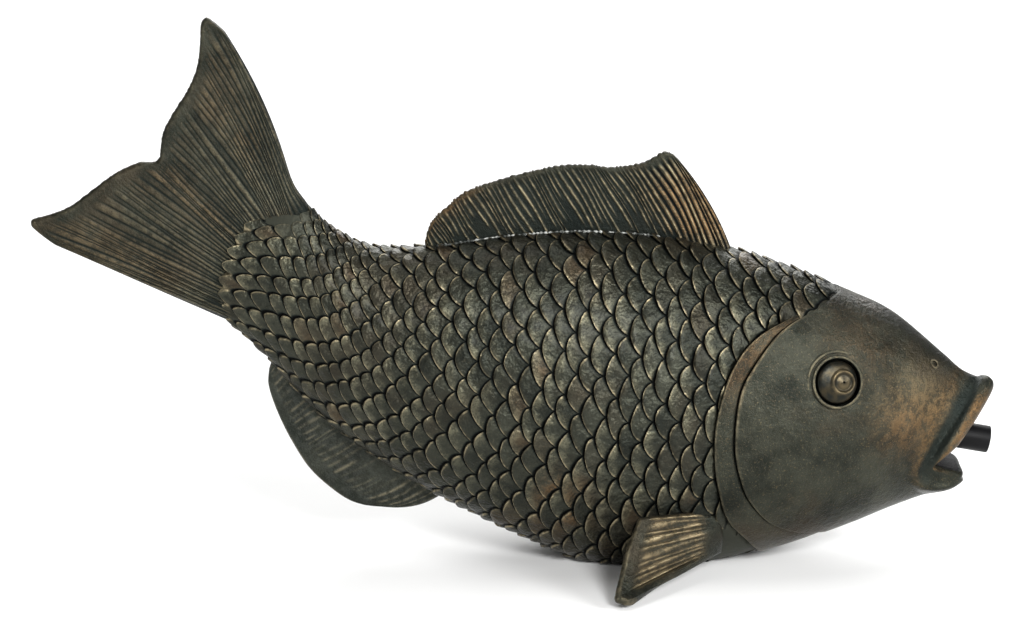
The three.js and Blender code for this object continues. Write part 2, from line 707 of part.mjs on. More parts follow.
function finGroup() {
  const group = new THREE.Group();
  group.name = "fins";
  const dorsal = solid(finGeometry({
    root: finRoot(backLine, dorsalFront, dorsalRear), edge: dorsalEdge.map(onMidPlane), rays: dorsalRays,
  }));
  group.add(meshOf("dorsal_fin", dorsal.subtract(clearBody).add(dorsalTenon(0)), resin));

  const tailRoot = [sunk(backLine, tailStation, 0), sunk(bellyLine, tailStation, finSink)];
  const tail = solid(finGeometry({
    root: tailRoot,
    edge: tailEdge.map(onMidPlane),
    rays: tailRays,
    thickness: tailRootThickness,
    rows: 5,
  }));
  group.add(meshOf("tail_fin", tail.subtract(clearBody).add(tailTenon(0)), resin));

  const anal = solid(finGeometry({
    root: finRoot(bellyLine, analFront, analRear), edge: analEdge.map(onMidPlane), rays: analRays,
  }));
  group.add(meshOf("anal_fin", anal.subtract(clearBody).add(analTenon(0)), resin));

  const pectoral = solid(finGeometry({
    root: pectoralRoot.map((p) => placed(...p).add(pectoralSeat)),
    edge: pectoralEdge.map((p) => placed(...p).add(pectoralSeat.clone().setZ(0))),
    rays: pectoralRays,
    bow: 0,
  }));
  const pegged = pectoral.subtract(clearBody).add(solid(pectoralPeg(0)));
  group.add(meshOf("right_pectoral_fin", pegged, resin));
  group.add(meshOf("left_pectoral_fin", pegged.mirror([0, 1, 0]), resin));
  return group;
}

function spoutGroup() {
  const group = new THREE.Group();
  group.name = "jet";
  group.applyMatrix4(spoutFrame);
  const bore = spoutRadius - spoutWall;
  const tube = ring([[bore, -spoutLength], [spoutRadius, -spoutLength], [spoutRadius, 0], [bore, 0]]);
  group.add(meshOf("spout_tube", tube, blackPlastic));

  const rear = -throatRear - fitGap;
  const front = -throatDepth + fitGap;
  const grommet = ring([
    [grommetBore, rear - grommetFlange], [grommetFlangeRadius, rear - grommetFlange],
    [grommetFlangeRadius, rear], [grommetRadius, rear],
    [grommetRadius, front], [grommetFlangeRadius, front],
    [grommetFlangeRadius, front + grommetFlange], [grommetBore, front + grommetFlange],
  ]);
  group.add(meshOf("throat_grommet", grommet, rubber));
  return group;
}

function hoseGroup() {
  const group = new THREE.Group();
  group.name = "water_line";
  const section = new THREE.Shape().absarc(0, 0, hoseOuter, 0, 2 * Math.PI);
  section.holes.push(new THREE.Path().absarc(0, 0, hoseInner, 0, 2 * Math.PI, true));
  const extrudePath = new HosePath();
  const hose = new THREE.ExtrudeGeometry(section, { extrudePath, steps: 14, curveSegments: 6 });
  group.add(meshOf("feed_hose", hose, clearHose));

  const clip = new THREE.Group();
  clip.position.set(baseX, 0, hoseBottom + clipLift + clipWidth / 2);
  const bandInner = hoseOuter + fitGap;
  const bandOuter = bandInner + clipBand;
  const bandTop = clipWidth / 2;
  const band = ring([
    [bandInner, -bandTop], [bandOuter, -bandTop], [bandOuter, bandTop], [bandInner, bandTop],
  ]);
  const housingX = -bandInner - clipBand / 2 - clipHousingDepth / 2;
  const housing = box(clipHousingDepth, clipHousingLength, clipHousingHeight).translate(housingX, 0, 0);
  const screwX = housingX - clipScrewOffset;
  const bore = cylinder(clipScrewDiameter + 2 * fitGap, -clipHousingLength, clipHousingLength)
    .rotateX(Math.PI / 2)
    .translate(screwX, 0, 0);
  clip.add(meshOf("hose_clip", solid(band).add(solid(housing)).subtract(solid(bore)), steel));

  const shank = clipScrewDiameter / 2;
  const shankLength = clipScrewOverhang + clipHousingLength + clipHeadGap;
  const head = shank + clipHeadWidth;
  const screwEnd = shankLength + clipHeadLength;
  const screw = meshOf("clip_screw", lathe([
    [0, 0], [shank, 0], [shank, shankLength], [head, shankLength], [head, screwEnd], [0, screwEnd],
  ], screwSegments), steel);
  screw.position.set(screwX, clipHousingLength / 2 + clipScrewOverhang, 0);
  screw.rotation.x = Math.PI / 2;
  clip.add(screw);
  group.add(clip);
  return group;
}

function baseGroup() {
  const group = new THREE.Group();
  group.name = "base";
  let plate = solid(extrudeUp(plateOutline(0), 0, baseThickness));
  const flangeSeat = fitGap + inletFlangeHeight + fitGap;
  const well = cylinder(2 * (inletFlangeRadius + fitGap), -1, flangeSeat).translate(baseX, 0, 0);
  const hole = cylinder(2 * (inletRadius + fitGap), -1, sealBottom).translate(baseX, 0, 0);
  plate = plate.subtract(solid(well)).subtract(solid(hole));
  const shank = screwDiameter / 2;
  const screw = lathe([
    [0, fitGap], [screwHead / 2, fitGap], [screwHead / 2, screwHeadTop], [shank, screwHeadTop],
    [shank, screwTop - screwPoint], [shank / 3, screwTop], [0, screwTop],
  ], screwSegments);
  screwPlaces().forEach((place, i) => {
    const headSeat = cylinder(screwHead + 2 * fitGap, -1, screwHeadTop + fitGap, screwSegments);
    const shankHole = cylinder(screwDiameter + 2 * fitGap, -1, sealBottom, screwSegments);
    plate = plate.subtract(solid(headSeat.translate(place.x, place.y, 0)));
    plate = plate.subtract(solid(shankHole.translate(place.x, place.y, 0)));
    const mesh = meshOf(`base_screw_${i + 1}`, screw.clone(), steel);
    mesh.position.copy(place);
    group.add(mesh);
  });
  group.add(meshOf("base_plate", plate, blackPlastic));

  const inlet = new THREE.Group();
  inlet.position.x = baseX;
  const flangeTop = fitGap + inletFlangeHeight;
  const profile = [
    [socketRadius, fitGap], [inletFlangeRadius, fitGap], [inletFlangeRadius, flangeTop],
    [inletRadius, flangeTop], [inletRadius, inletTop], [barbRadius, inletTop + shoulderHeight],
  ];
  const ridgePitch = (barbLength - barbLead) / barbRidges;
  for (let i = 0; i < barbRidges; i++) {
    const z = hoseBottom + barbLead + i * ridgePitch;
    profile.push([barbRadius, z], [barbRadius + barbRidge, z + barbRidge]);
  }
  const bore = barbRadius - barbWall;
  profile.push([barbRadius, barbTop], [bore, barbTop], [bore, socketDepth], [socketRadius, socketDepth]);
  inlet.add(meshOf("inlet_fitting", ring(profile), greyPlastic));

  const sealHole = inletRadius + fitGap;
  const sealTop = sealBottom + sealThickness;
  const seal = ring([
    [sealHole, sealBottom], [nutRadius, sealBottom], [nutRadius, sealTop], [sealHole, sealTop],
  ]);
  inlet.add(meshOf("inlet_seal", seal, rubber));

  const nutTop = nutBottom + nutHeight;
  const nutBlank = cylinder(2 * nutCorner, nutBottom, nutTop, 6);
  const nutHole = cylinder(2 * sealHole, 0, inletTop);
  inlet.add(meshOf("inlet_nut", solid(nutBlank).subtract(solid(nutHole)), greyPlastic));
  group.add(inlet);
  return group;
}

// The origin is put under the middle of the whole fish
const fish = new THREE.Group();
fish.name = "fish_water_spitter";
fish.add(bodyGroup(), finGroup(), spoutGroup(), hoseGroup(), baseGroup());
fish.updateMatrixWorld(true);
const extent = new THREE.Box3().setFromObject(fish, true);
fish.position.set(-(extent.min.x + extent.max.x) / 2, 0, -extent.min.z);

export default fish;
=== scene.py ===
import math

import bmesh
import bpy
import numpy as np
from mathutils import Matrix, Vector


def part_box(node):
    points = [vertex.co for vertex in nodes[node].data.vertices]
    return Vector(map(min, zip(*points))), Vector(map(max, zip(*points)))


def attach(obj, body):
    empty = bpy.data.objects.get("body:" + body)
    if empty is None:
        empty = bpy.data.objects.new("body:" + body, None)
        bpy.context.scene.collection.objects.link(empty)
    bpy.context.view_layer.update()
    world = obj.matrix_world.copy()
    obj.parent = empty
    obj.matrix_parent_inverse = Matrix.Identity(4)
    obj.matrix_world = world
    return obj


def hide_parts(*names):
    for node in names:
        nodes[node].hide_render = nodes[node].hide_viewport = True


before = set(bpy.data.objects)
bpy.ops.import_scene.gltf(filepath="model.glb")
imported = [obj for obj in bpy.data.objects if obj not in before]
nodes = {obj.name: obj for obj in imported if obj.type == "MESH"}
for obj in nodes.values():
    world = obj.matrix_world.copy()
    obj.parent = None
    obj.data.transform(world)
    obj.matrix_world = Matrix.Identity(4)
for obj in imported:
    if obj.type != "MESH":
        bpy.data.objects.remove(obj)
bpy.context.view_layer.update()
plateLow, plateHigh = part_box("base_plate")
shiftX = (plateLow[0] + plateHigh[0]) / 2   # the maker's x is 0 over the middle of the base plate
rng = np.random.default_rng(11)
print("frame loaded:", len(nodes), "solids")


# helpers for shapes, all in millimetres until a mesh is put down

def ease(x, low, high):
    # 0 below low, 1 above high, smooth between
    s = np.clip((np.asarray(x, float) - low) / (high - low), 0, 1)
    return s * s * (3 - 2 * s)


def alongSpline(points, t, closed=False):
    # smooth curve through the points: a cubic on each span, its end slopes half the chord of the neighbours
    points = np.asarray(points, float)
    n = len(points)
    spans = n if closed else n - 1
    p = np.asarray(t, float) * spans
    i = np.clip(np.floor(p).astype(int), 0, spans - 1)
    w = (p - i)[..., None]
    pick = (lambda k: points[(i + k) % n]) if closed else (lambda k: points[np.clip(i + k, 0, n - 1)])
    a, b, c, d = pick(-1), pick(0), pick(1), pick(2)
    v, u = (c - a) / 2, (d - b) / 2
    return (2 * b - 2 * c + v + u) * w**3 + (3 * c - 3 * b - 2 * v - u) * w**2 + v * w + b


def runLength(points):
    # distance along a line of points, from the first of them to each
    return np.concatenate([[0], np.cumsum(np.linalg.norm(np.diff(points, axis=0), axis=1))])


def byLength(points, share):
    # the same curve, with the share measured along its length
    fine = alongSpline(points, np.linspace(0, 1, 600))
    run = runLength(fine)
    return np.stack([np.interp(share, run / run[-1], fine[:, k]) for k in range(3)], -1)


def unit(v):
    # the same direction, one long
    return v / np.linalg.norm(v, axis=-1, keepdims=True)


def joined(parts):
    # points of several grids, one grid after another
    return np.concatenate([part.reshape(-1, 3) for part in parts])


def gridQuads(rows, columns, start=0, wrapRows=False, wrapColumns=False):
    # four corners of every cell of a rows by columns grid of points
    r = np.arange(rows if wrapRows else rows - 1)[:, None]
    c = np.arange(columns if wrapColumns else columns - 1)[None, :]
    r2, c2 = (r + 1) % rows, (c + 1) % columns
    cell = np.stack([r * columns + c, r * columns + c2, r2 * columns + c2, r2 * columns + c], -1)
    return cell.reshape(-1, 4) + start


mesher = {"millimetre": 0.001, "weld": 2e-6, "sliver": 1e-7}   # metres


def putMesh(name, points, faces, values, material, body, stands=(), crease=40):
    # closes the grid's seams and poles, turns the faces outward and keeps edges sharper than the crease angle
    mesh = bpy.data.meshes.new(name)
    place = np.asarray(points, float).reshape(-1, 3) * mesher["millimetre"] + np.array([shiftX, 0, 0])
    mesh.from_pydata(place.tolist(), [], [f for part in faces for f in part.tolist()])
    for key, data in values.items():
        layer = mesh.attributes.new(key, "FLOAT", "POINT")
        layer.data.foreach_set("value", np.broadcast_to(data, len(place)).astype(np.float32).ravel())
    bm = bmesh.new()
    bm.from_mesh(mesh)
    bmesh.ops.remove_doubles(bm, verts=bm.verts, dist=mesher["weld"])
    bmesh.ops.dissolve_degenerate(bm, edges=bm.edges, dist=mesher["sliver"])
    bmesh.ops.recalc_face_normals(bm, faces=bm.faces)
    if bm.calc_volume(signed=True) < 0:
        bmesh.ops.reverse_faces(bm, faces=bm.faces)
    bm.to_mesh(mesh)
    bm.free()
    mesh.shade_smooth()
    mesh.set_sharp_from_angle(angle=math.radians(crease))
    mesh.materials.append(material)
    piece = bpy.data.objects.new(name, mesh)
    bpy.context.scene.collection.objects.link(piece)
    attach(piece, body)
    if stands:
        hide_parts(*stands)
    print("made", name, len(mesh.polygons), "faces")


# materials

class Wire:
    # one end of a node that can stand in a sum
    def __init__(self, tree, socket=None):
        self.tree, self.socket = tree, socket

    def node(self, kind, settings={}, inputs={}, output=0):
        made = self.tree.nodes.new(kind)
        for key, value in settings.items():
            setattr(made, key, value)
        for key, value in inputs.items():
            if isinstance(value, Wire):
                self.tree.links.new(value.socket, made.inputs[key])
            else:
                made.inputs[key].default_value = value
        return Wire(self.tree, made.outputs[output])

    def sum(self, operation, a, b):
        return self.node("ShaderNodeMath", {"operation": operation}, {0: a, 1: b})

    def __add__(self, other):
        return self.sum("ADD", self, other)

    def __radd__(self, other):
        return self.sum("ADD", other, self)

    def __sub__(self, other):
        return self.sum("SUBTRACT", self, other)

    def __rsub__(self, other):
        return self.sum("SUBTRACT", other, self)

    def __mul__(self, other):
        return self.sum("MULTIPLY", self, other)

    def __rmul__(self, other):
        return self.sum("MULTIPLY", other, self)

    def step(self, low, high):
        return self.node("ShaderNodeMapRange", {"interpolation_type": "SMOOTHSTEP"},
                         {"Value": self, "From Min": low, "From Max": high}, "Result")

    def between(self, a, b):
        a, b = ((*c, 1) if isinstance(c, tuple) else c for c in (a, b))
        return self.node("ShaderNodeMix", {"data_type": "RGBA"}, {0: self, 6: a, 7: b}, 2)

    def noise(self, place, scale, detail=4, rough=0.6):
        return self.node("ShaderNodeTexNoise", {}, {"Vector": place, "Scale": scale, "Detail": detail,
                                                    "Roughness": rough}, "Fac")

    def bump(self, strength, depth):
        return self.node("ShaderNodeBump", {}, {"Strength": strength, "Distance": depth, "Height": self},
                         "Normal")

    def value(self, name):
        return self.node("ShaderNodeAttribute", {"attribute_name": name}, {}, "Fac")


def newFinish(name):
    material = bpy.data.materials.new(name)
    material.use_nodes = True
    tree = material.node_tree
    shader = next(n for n in tree.nodes if n.type == "BSDF_PRINCIPLED")
    wire = Wire(tree)
    return material, wire, shader, wire.node("ShaderNodeTexCoord", output="Object")


def feed(shader, **sockets):
    for key, value in sockets.items():
        socket = shader.inputs[key.replace("_", " ")]
        if isinstance(value, Wire):
            value.tree.links.new(value.socket, socket)
        else:
            socket.default_value = value


bronze = {   # painted cast resin: linear colours, waves to the metre, then what each surface has of its own
    "dark": (0.015, 0.017, 0.0135),
    "olive": (0.041, 0.043, 0.032),
    "brown": (0.055, 0.039, 0.024),
    "copper": (0.19, 0.095, 0.034),
    "tan": (0.185, 0.142, 0.076),
    "sheenStone": (0.165, 0.158, 0.105),
    "ash": (0.125, 0.135, 0.122),
    "rimWearAndHighlight": (0.34, 0.285, 0.175),
    "teal": (0.0105, 0.0142, 0.0128),
    "black": (0.001, 0.0012, 0.001),
    "moss": (0.050, 0.053, 0.041),
    "clouds": 70, "patches": 28, "grains": 1500,
    "metal": 0.75, "specular": 0.15, "coatRough": 0.3, "bump": 0.7,
    "brownScales": 0.3, "darkScales": 0.5, "bareMoss": 0.75, "bareSmooth": 0.85, "foldTeal": 0.85,
    "skin": {"speckle": 0.45, "depth": 0.0011, "rough": 0.34, "lumps": 330, "fine": 5, "grit": 0.35,
             "brown": 0.5, "varnish": 0.0, "paleAndHighlightTone": "tan"},
    "scales": {"speckle": 0.10, "depth": 0.0024, "rough": 0.39, "lumps": 240, "fine": 2.4, "grit": 0.1,
               "brown": 0.3, "varnish": 0.06, "paleAndHighlightTone": "sheenStone"},
    "fins": {"speckle": 0.2, "depth": 0.0012, "rough": 0.34, "lumps": 330, "fine": 5, "grit": 0.3,
             "brown": 0.45, "varnish": 0.0, "paleAndHighlightTone": "tan"},
    "keel": {"speckle": 0.12, "depth": 0.0012, "rough": 0.34, "lumps": 330, "fine": 5, "grit": 0.3,
             "brown": 0.1, "varnish": 0.0, "paleAndHighlightTone": "ash"},
}


def bronzeFinish(name, surface):
    # dark to olive clouds, brown patches and tan grains; over them what the mesh marks: each scale's tone,
    # bare skin, pale and copper paint and painted highlights broken up by lumps and grit, worn rims with a
    # painted highlight, cool folds, and painted shade, teal to black, in grooves and hollows
    material, wire, shader, place = newFinish(name)
    look = bronze[surface]
    cloud = wire.noise(place, bronze["clouds"]).step(0.3, 0.7)
    patch = wire.noise(place, bronze["patches"], 3).step(0.48, 0.7)
    grit = wire.noise(place, bronze["grains"], 3, 0.7)
    hammer = wire.noise(place, look["lumps"], look["fine"], 0.64)
    grain = 0.55 * hammer + 0.45 * grit
    paintedShade, rim = wire.value("paintedShade"), wire.value("rim")
    scaleTint, bare = wire.value("scaleTint"), wire.value("bare")
    colour = cloud.between(bronze["dark"], bronze["olive"])
    colour = (patch * look["brown"]).between(colour, bronze["brown"])
    colour = (scaleTint.step(0.80, 1.0) * bronze["brownScales"]).between(colour, bronze["brown"])
    colour = ((1 - scaleTint).step(0.5, 1.0) * bronze["darkScales"]).between(colour, bronze["dark"])
    colour = (bronze["bareMoss"] * bare).between(colour, bronze["moss"])
    colour = (grit.step(0.56, 0.70) * look["speckle"]).between(colour, bronze["tan"])
    broken = 0.2 + 0.8 * grain.step(0.44, 0.57)
    # pale paint on lips and keel fin, and a painted highlight on scales, fin crests, cheek and ridge
    colour = (wire.value("pale") * broken).between(colour, bronze[look["paleAndHighlightTone"]])
    worn = 0.2 + 0.8 * grain.step(0.42, 0.56)
    colour = (wire.value("rub") * worn).between(colour, bronze["copper"])
    # worn rims, and a painted highlight along rims and ray crests
    colour = (rim * (0.2 + 0.7 * hammer.step(0.4, 0.6))).between(colour, bronze["rimWearAndHighlight"])
    colour = (wire.value("fold") * bronze["foldTeal"]).between(colour, bronze["teal"])
    # painted shade in grooves, hollows, pits and the mouth: teal, then black where deepest
    colour = paintedShade.step(0.15, 0.8).between(colour, bronze["teal"])
    colour = paintedShade.step(0.55, 1.0).between(colour, bronze["black"])
    rough = look["rough"] + 0.6 * look["grit"] * (grit - 0.5) + 0.25 * paintedShade + 0.2 * bare
    height = (hammer + look["grit"] * grit) * (1 - bronze["bareSmooth"] * bare)
    bump = height.bump(bronze["bump"], look["depth"])
    coat = look["varnish"] * (1 - paintedShade) * (1 - bare) if look["varnish"] else 0.0
    feed(shader, Base_Color=colour, Roughness=rough, Normal=bump, Metallic=bronze["metal"],
         Specular_IOR_Level=bronze["specular"], Coat_Weight=coat, Coat_Roughness=bronze["coatRough"])
    return material


skinFinish = bronzeFinish("bronzedSkin", "skin")
scaleFinish = bronzeFinish("bronzedScales", "scales")
finFinish = bronzeFinish("bronzedFins", "fins")
keelFinish = bronzeFinish("bronzedKeel", "keel")


# body: sections between the back and the belly line

fish = {   # millimetres
    "length": 371, "width": 141, "height": 212,
    "fullBack": 1.0, "fullBelly": 0.8,
    # muzzle to tail: x and z of the back, x and z of the belly, half width, in thousandths of these sizes
    "lines": [[310, 371.5, 288.4, 113.2, 122], [256.1, 448.1, 237.2, 89.6, 173.8],
              [207.5, 492.9, 188.7, 59, 212.8], [153.6, 530.7, 140.2, 30.7, 244.7],
              [88.9, 568.4, 86.3, 0, 266], [10.8, 596.7, 16.2, -21.2, 276.6],
              [-72.8, 606.1, -59.3, -11.8, 266], [-153.6, 596.7, -134.8, 42.5, 237.6],
              [-229.1, 577.8, -210.2, 108.5, 195], [-288.4, 577.8, -280.3, 181.6, 148.9],
              [-328.8, 613.2, -345, 271.2, 109.9], [-358.5, 658, -401.6, 384.4, 74.5],
              [-390.8, 646.2, -434, 438.7, 56.7]],
}
sideScale = np.array([fish["length"], fish["height"]]) / 1000
bodyLines = np.array(fish["lines"]) * np.array([*sideScale, *sideScale, fish["width"] / 1000])


def bodyAt(t, angle, out=0.0):
    # section at t: (1 - cos) / 2 of the way from back to belly, half width times sine to a power, with back,
    # belly and width all set out by the same amount; the angle runs from the back over the left flank
    t, angle, out = np.broadcast_arrays(*(np.asarray(v, float) for v in (t, angle, out)))
    row = alongSpline(bodyLines, t)
    down = unit(row[..., 2:4] - row[..., 0:2]) * out[..., None]
    back, belly = row[..., 0:2] - down, row[..., 2:4] + down
    middle = back + (belly - back) * ((1 - np.cos(angle)) / 2)[..., None]
    side = np.sin(angle)
    power = np.where(np.cos(angle) > 0, fish["fullBack"], fish["fullBelly"])
    y = (row[..., 4] + out) * np.sign(side) * np.abs(side) ** power
    return np.stack([middle[..., 0], y, middle[..., 1]], -1)


def skinFrame(t, angle, out):
    # a spot on the skin, with its outward, forward and sideways directions
    step = 0.01
    spot = bodyAt(t, angle, out)
    normal = unit(np.cross(bodyAt(t, angle + step, out) - spot, bodyAt(t + step, angle, out) - spot))
    forward = np.array([1.0, 0, 0])
    forward = unit(forward - normal * (forward @ normal))
    return spot, normal, forward, np.cross(normal, forward)


base = {"halfStraight": 11.0, "radius": 17.0, "inset": 2.5, "roof": 55.0, "flat": 0.5}   # plate in the belly


def flattened(points, lift=0.0):
    # belly cut off flat, with a deep pocket over the base plate and its inlet
    x, y, z = points[..., 0], points[..., 1], points[..., 2]
    reach = np.hypot(np.maximum(np.abs(x) - base["halfStraight"], 0), y)
    z = np.maximum(z, base["flat"] + lift)
    z = np.where((reach < base["radius"] - base["inset"]) & (z < base["roof"] / 2), base["roof"], z)
    return np.stack([x, y, z], -1)


# gill edges, shared by the scaled trunk and the head

gill = {   # rear edges in side view, thousandths of length and height, nape to belly; steps in millimetres
    "flap": [[202.2, 575.5], [187.3, 518.9], [146.9, 483.5], [114, 457.5], [94.3, 431.6], [78.7, 391.5],
             [69.5, 345.3], [63.1, 290.1], [63.1, 225], [68.5, 164.6], [78.7, 107.1], [101.6, 55.7],
             [140.2, -42.5]],
    "cover": [[215.6, 575.5], [199.5, 518.9], [157.7, 484.9], [134.8, 463.2], [118.6, 438.7], [98.4, 391.5],
              [88.4, 353.8], [83.8, 298.6], [83.8, 242], [90, 191], [99.5, 149.5], [120.2, 102.4],
              [149.3, 72.2], [180.3, 56.6], [242.6, 9.4], [269.5, -42.5]],
    "flapRise": 1.5, "coverRise": 2.3, "edge": 0.6,
    "nape": (34, 50), "napeFlap": -0.15, "napeCover": 0.3,   # degrees from the back, and the steps left there
}


def napeOpen(angle):
    # 0 over the nape, where both gill edges die out, and 1 down the flanks
    turn = np.abs(np.mod(angle + np.pi, 2 * np.pi) - np.pi)
    return ease(turn, *np.radians(gill["nape"]))


def edgeX(line, z):
    # how far forward the edge stands at height z
    fine = alongSpline(np.array(line) * sideScale, np.linspace(0, 1, 400))
    return np.interp(z, fine[::-1, 1], fine[::-1, 0])


def crossing(line, angle, rise):
    # the last t, coming from the muzzle, at which the skin is still ahead of the edge
    ts = np.linspace(0.02, 0.6, 900)
    skin = bodyAt(ts[:, None], angle[None, :], rise)
    ahead = skin[..., 0] - edgeX(line, skin[..., 2])
    last = len(ts) - 1 - np.argmax((ahead > 0)[::-1], axis=0)
    k = np.arange(len(angle))
    part = ahead[last, k] / (ahead[last, k] - ahead[last + 1, k])
    return ts[last] + (ts[1] - ts[0]) * part


# scaled trunk

scales = {
    "front": 0.165, "halfPitches": 51, "taper": 1.12, "rows": 42,   # lattice: rows go round the fish
    "girthAt": 0.45,                       # the section whose girth the rows share out
    "roundness": 0.8, "uneven": 0.09,
    "relief": 1.75, "tailRelief": 1.3, "rise": 2.2, "rimDrop": 0.30, "tilt": 0.55, "lumps": 0.2,
    "cuts": [0, 0.07, 0.19, 0.36, 0.55, 0.75, 0.91, 1],
    "sunk": 3.4, "napeSunk": 0.25,         # how far the skin sinks under the gill flap, and at the nape
    # bare patches, at the foot of the front fins and of the tail's leading edge: x, z, inner and outer reach
    "smooth": [(30, 12, 11, 17), (-140, 140, 7, 12)],
    "tailStart": 0.82, "tailBulge": 11.0, "tailPinch": 0.42,   # the last scales run out over the tail fin
    "tailWay": (-0.93, 0, 0.36),
    "funnel": 30.0,                        # the front closes in a cone that leaves room for the spout
    "copper": (-33, 31, 8.5),              # scales worn to copper low on the flank: x, z, reach
    "hollow": (12, 29, 15, 6),             # painted shadow of each front fin on the skin above it: x, z and the reach along each
    "worn": 0.85, "odd": 0.1, "hollowed": 0.6, "sheenFlecks": 0.65,
    "rimWearAndHighlightSpan": (0.90, 0.98), "sheenFleckSpan": (0.45, 0.9), "grooveShadeSpan": (0.03, 0.2), "dropSpan": (0.86, 1.0),
}


def latticeCells():
    # the dark squares of a chessboard: their columns and rows, and each square's number, -1 on light ones
    column, row = np.meshgrid(np.arange(scales["halfPitches"] - 1), np.arange(scales["rows"]), indexing="ij")
    dark = (column + row) % 2 == 0
    number = np.full(column.shape, -1)
    number[dark] = np.arange(dark.sum())
    return column[dark], row[dark], number


def latticeOnSkin(u, v):
    # steps of u grow towards the tail by the taper, and steps of v are equal round a mid-body section
    x = np.clip(u / scales["halfPitches"], 0, 1)
    share = (2 * x - (1 - scales["taper"]) * x * x) / (1 + scales["taper"])
    ts = np.linspace(scales["front"], 1, 800)
    run = runLength(bodyAt(ts, np.pi / 2) * np.array([1, 0, 1]))
    t = np.interp(share * run[-1], run, ts)
    rows = scales["rows"]
    around = np.linspace(0, np.pi, 600)
    girth = runLength(bodyAt(scales["girthAt"], around))
    half = np.interp(np.linspace(0, girth[-1], rows // 2 + 1), girth, around)
    full = np.concatenate([half, 2 * np.pi - half[-2::-1]])
    return share, t, np.interp(np.mod(v, rows), np.arange(rows + 1), full)


def trunkMesh(i, j, number, points):
    # faces of the scales, walls under their rear edges, corners between their tips, and a fan over each end
    n = len(scales["cuts"]) - 1
    columns, rows = scales["halfPitches"], scales["rows"]
    spot = lambda cell, a, b: cell * (n + 1) ** 2 + a * (n + 1) + b
    beside = lambda some, a, b: number[i[some] + a, (j[some] + b) % rows][:, None]
    quads = lambda *corners: np.stack(corners, -1).reshape(-1, 4)
    cells = np.arange(len(i))[:, None, None]
    faces = [(cells * (n + 1) ** 2 + gridQuads(n + 1, n + 1)[None]).reshape(-1, 4)]
    s = np.arange(n)[None, :]
    walled = i < columns - 2
    own, left, right = beside(walled, 0, 0), beside(walled, 1, 1), beside(walled, 1, -1)
    faces.append(quads(spot(own, n, s), spot(own, n, s + 1), spot(left, 0, s + 1), spot(left, 0, s)))
    faces.append(quads(spot(own, s, n), spot(right, s, 0), spot(right, s + 1, 0), spot(own, s + 1, n)))
    tipped = i < columns - 3   # a tip's corner is open only where its neighbours lie at other heights
    faces.append(np.concatenate([spot(beside(tipped, 0, 0), n, n), spot(beside(tipped, 1, 1), 0, n),
                                 spot(beside(tipped, 2, 0), 0, 0), spot(beside(tipped, 1, -1), n, 0)], 1))
    ahead = number[0, number[0] >= 0][:, None]
    after = np.roll(ahead, -1, axis=0)
    behind = number[-1, number[-1] >= 0][:, None]
    frontLoop = np.concatenate([spot(ahead, s, 0), spot(after, 0, n - s)], 1).ravel()
    rearLoop = np.concatenate([spot(behind, s, n), spot(behind, n, n - s)], 1).ravel()
    middles = np.stack([points[frontLoop].mean(0), points[rearLoop].mean(0)])
    middles[0, 0] -= scales["funnel"]
    for hub, loop in enumerate((frontLoop, rearLoop)):
        faces.append(np.stack([loop, np.roll(loop, -1), np.full(len(loop), len(points) + hub)], -1))
    return np.concatenate([points, middles]), faces


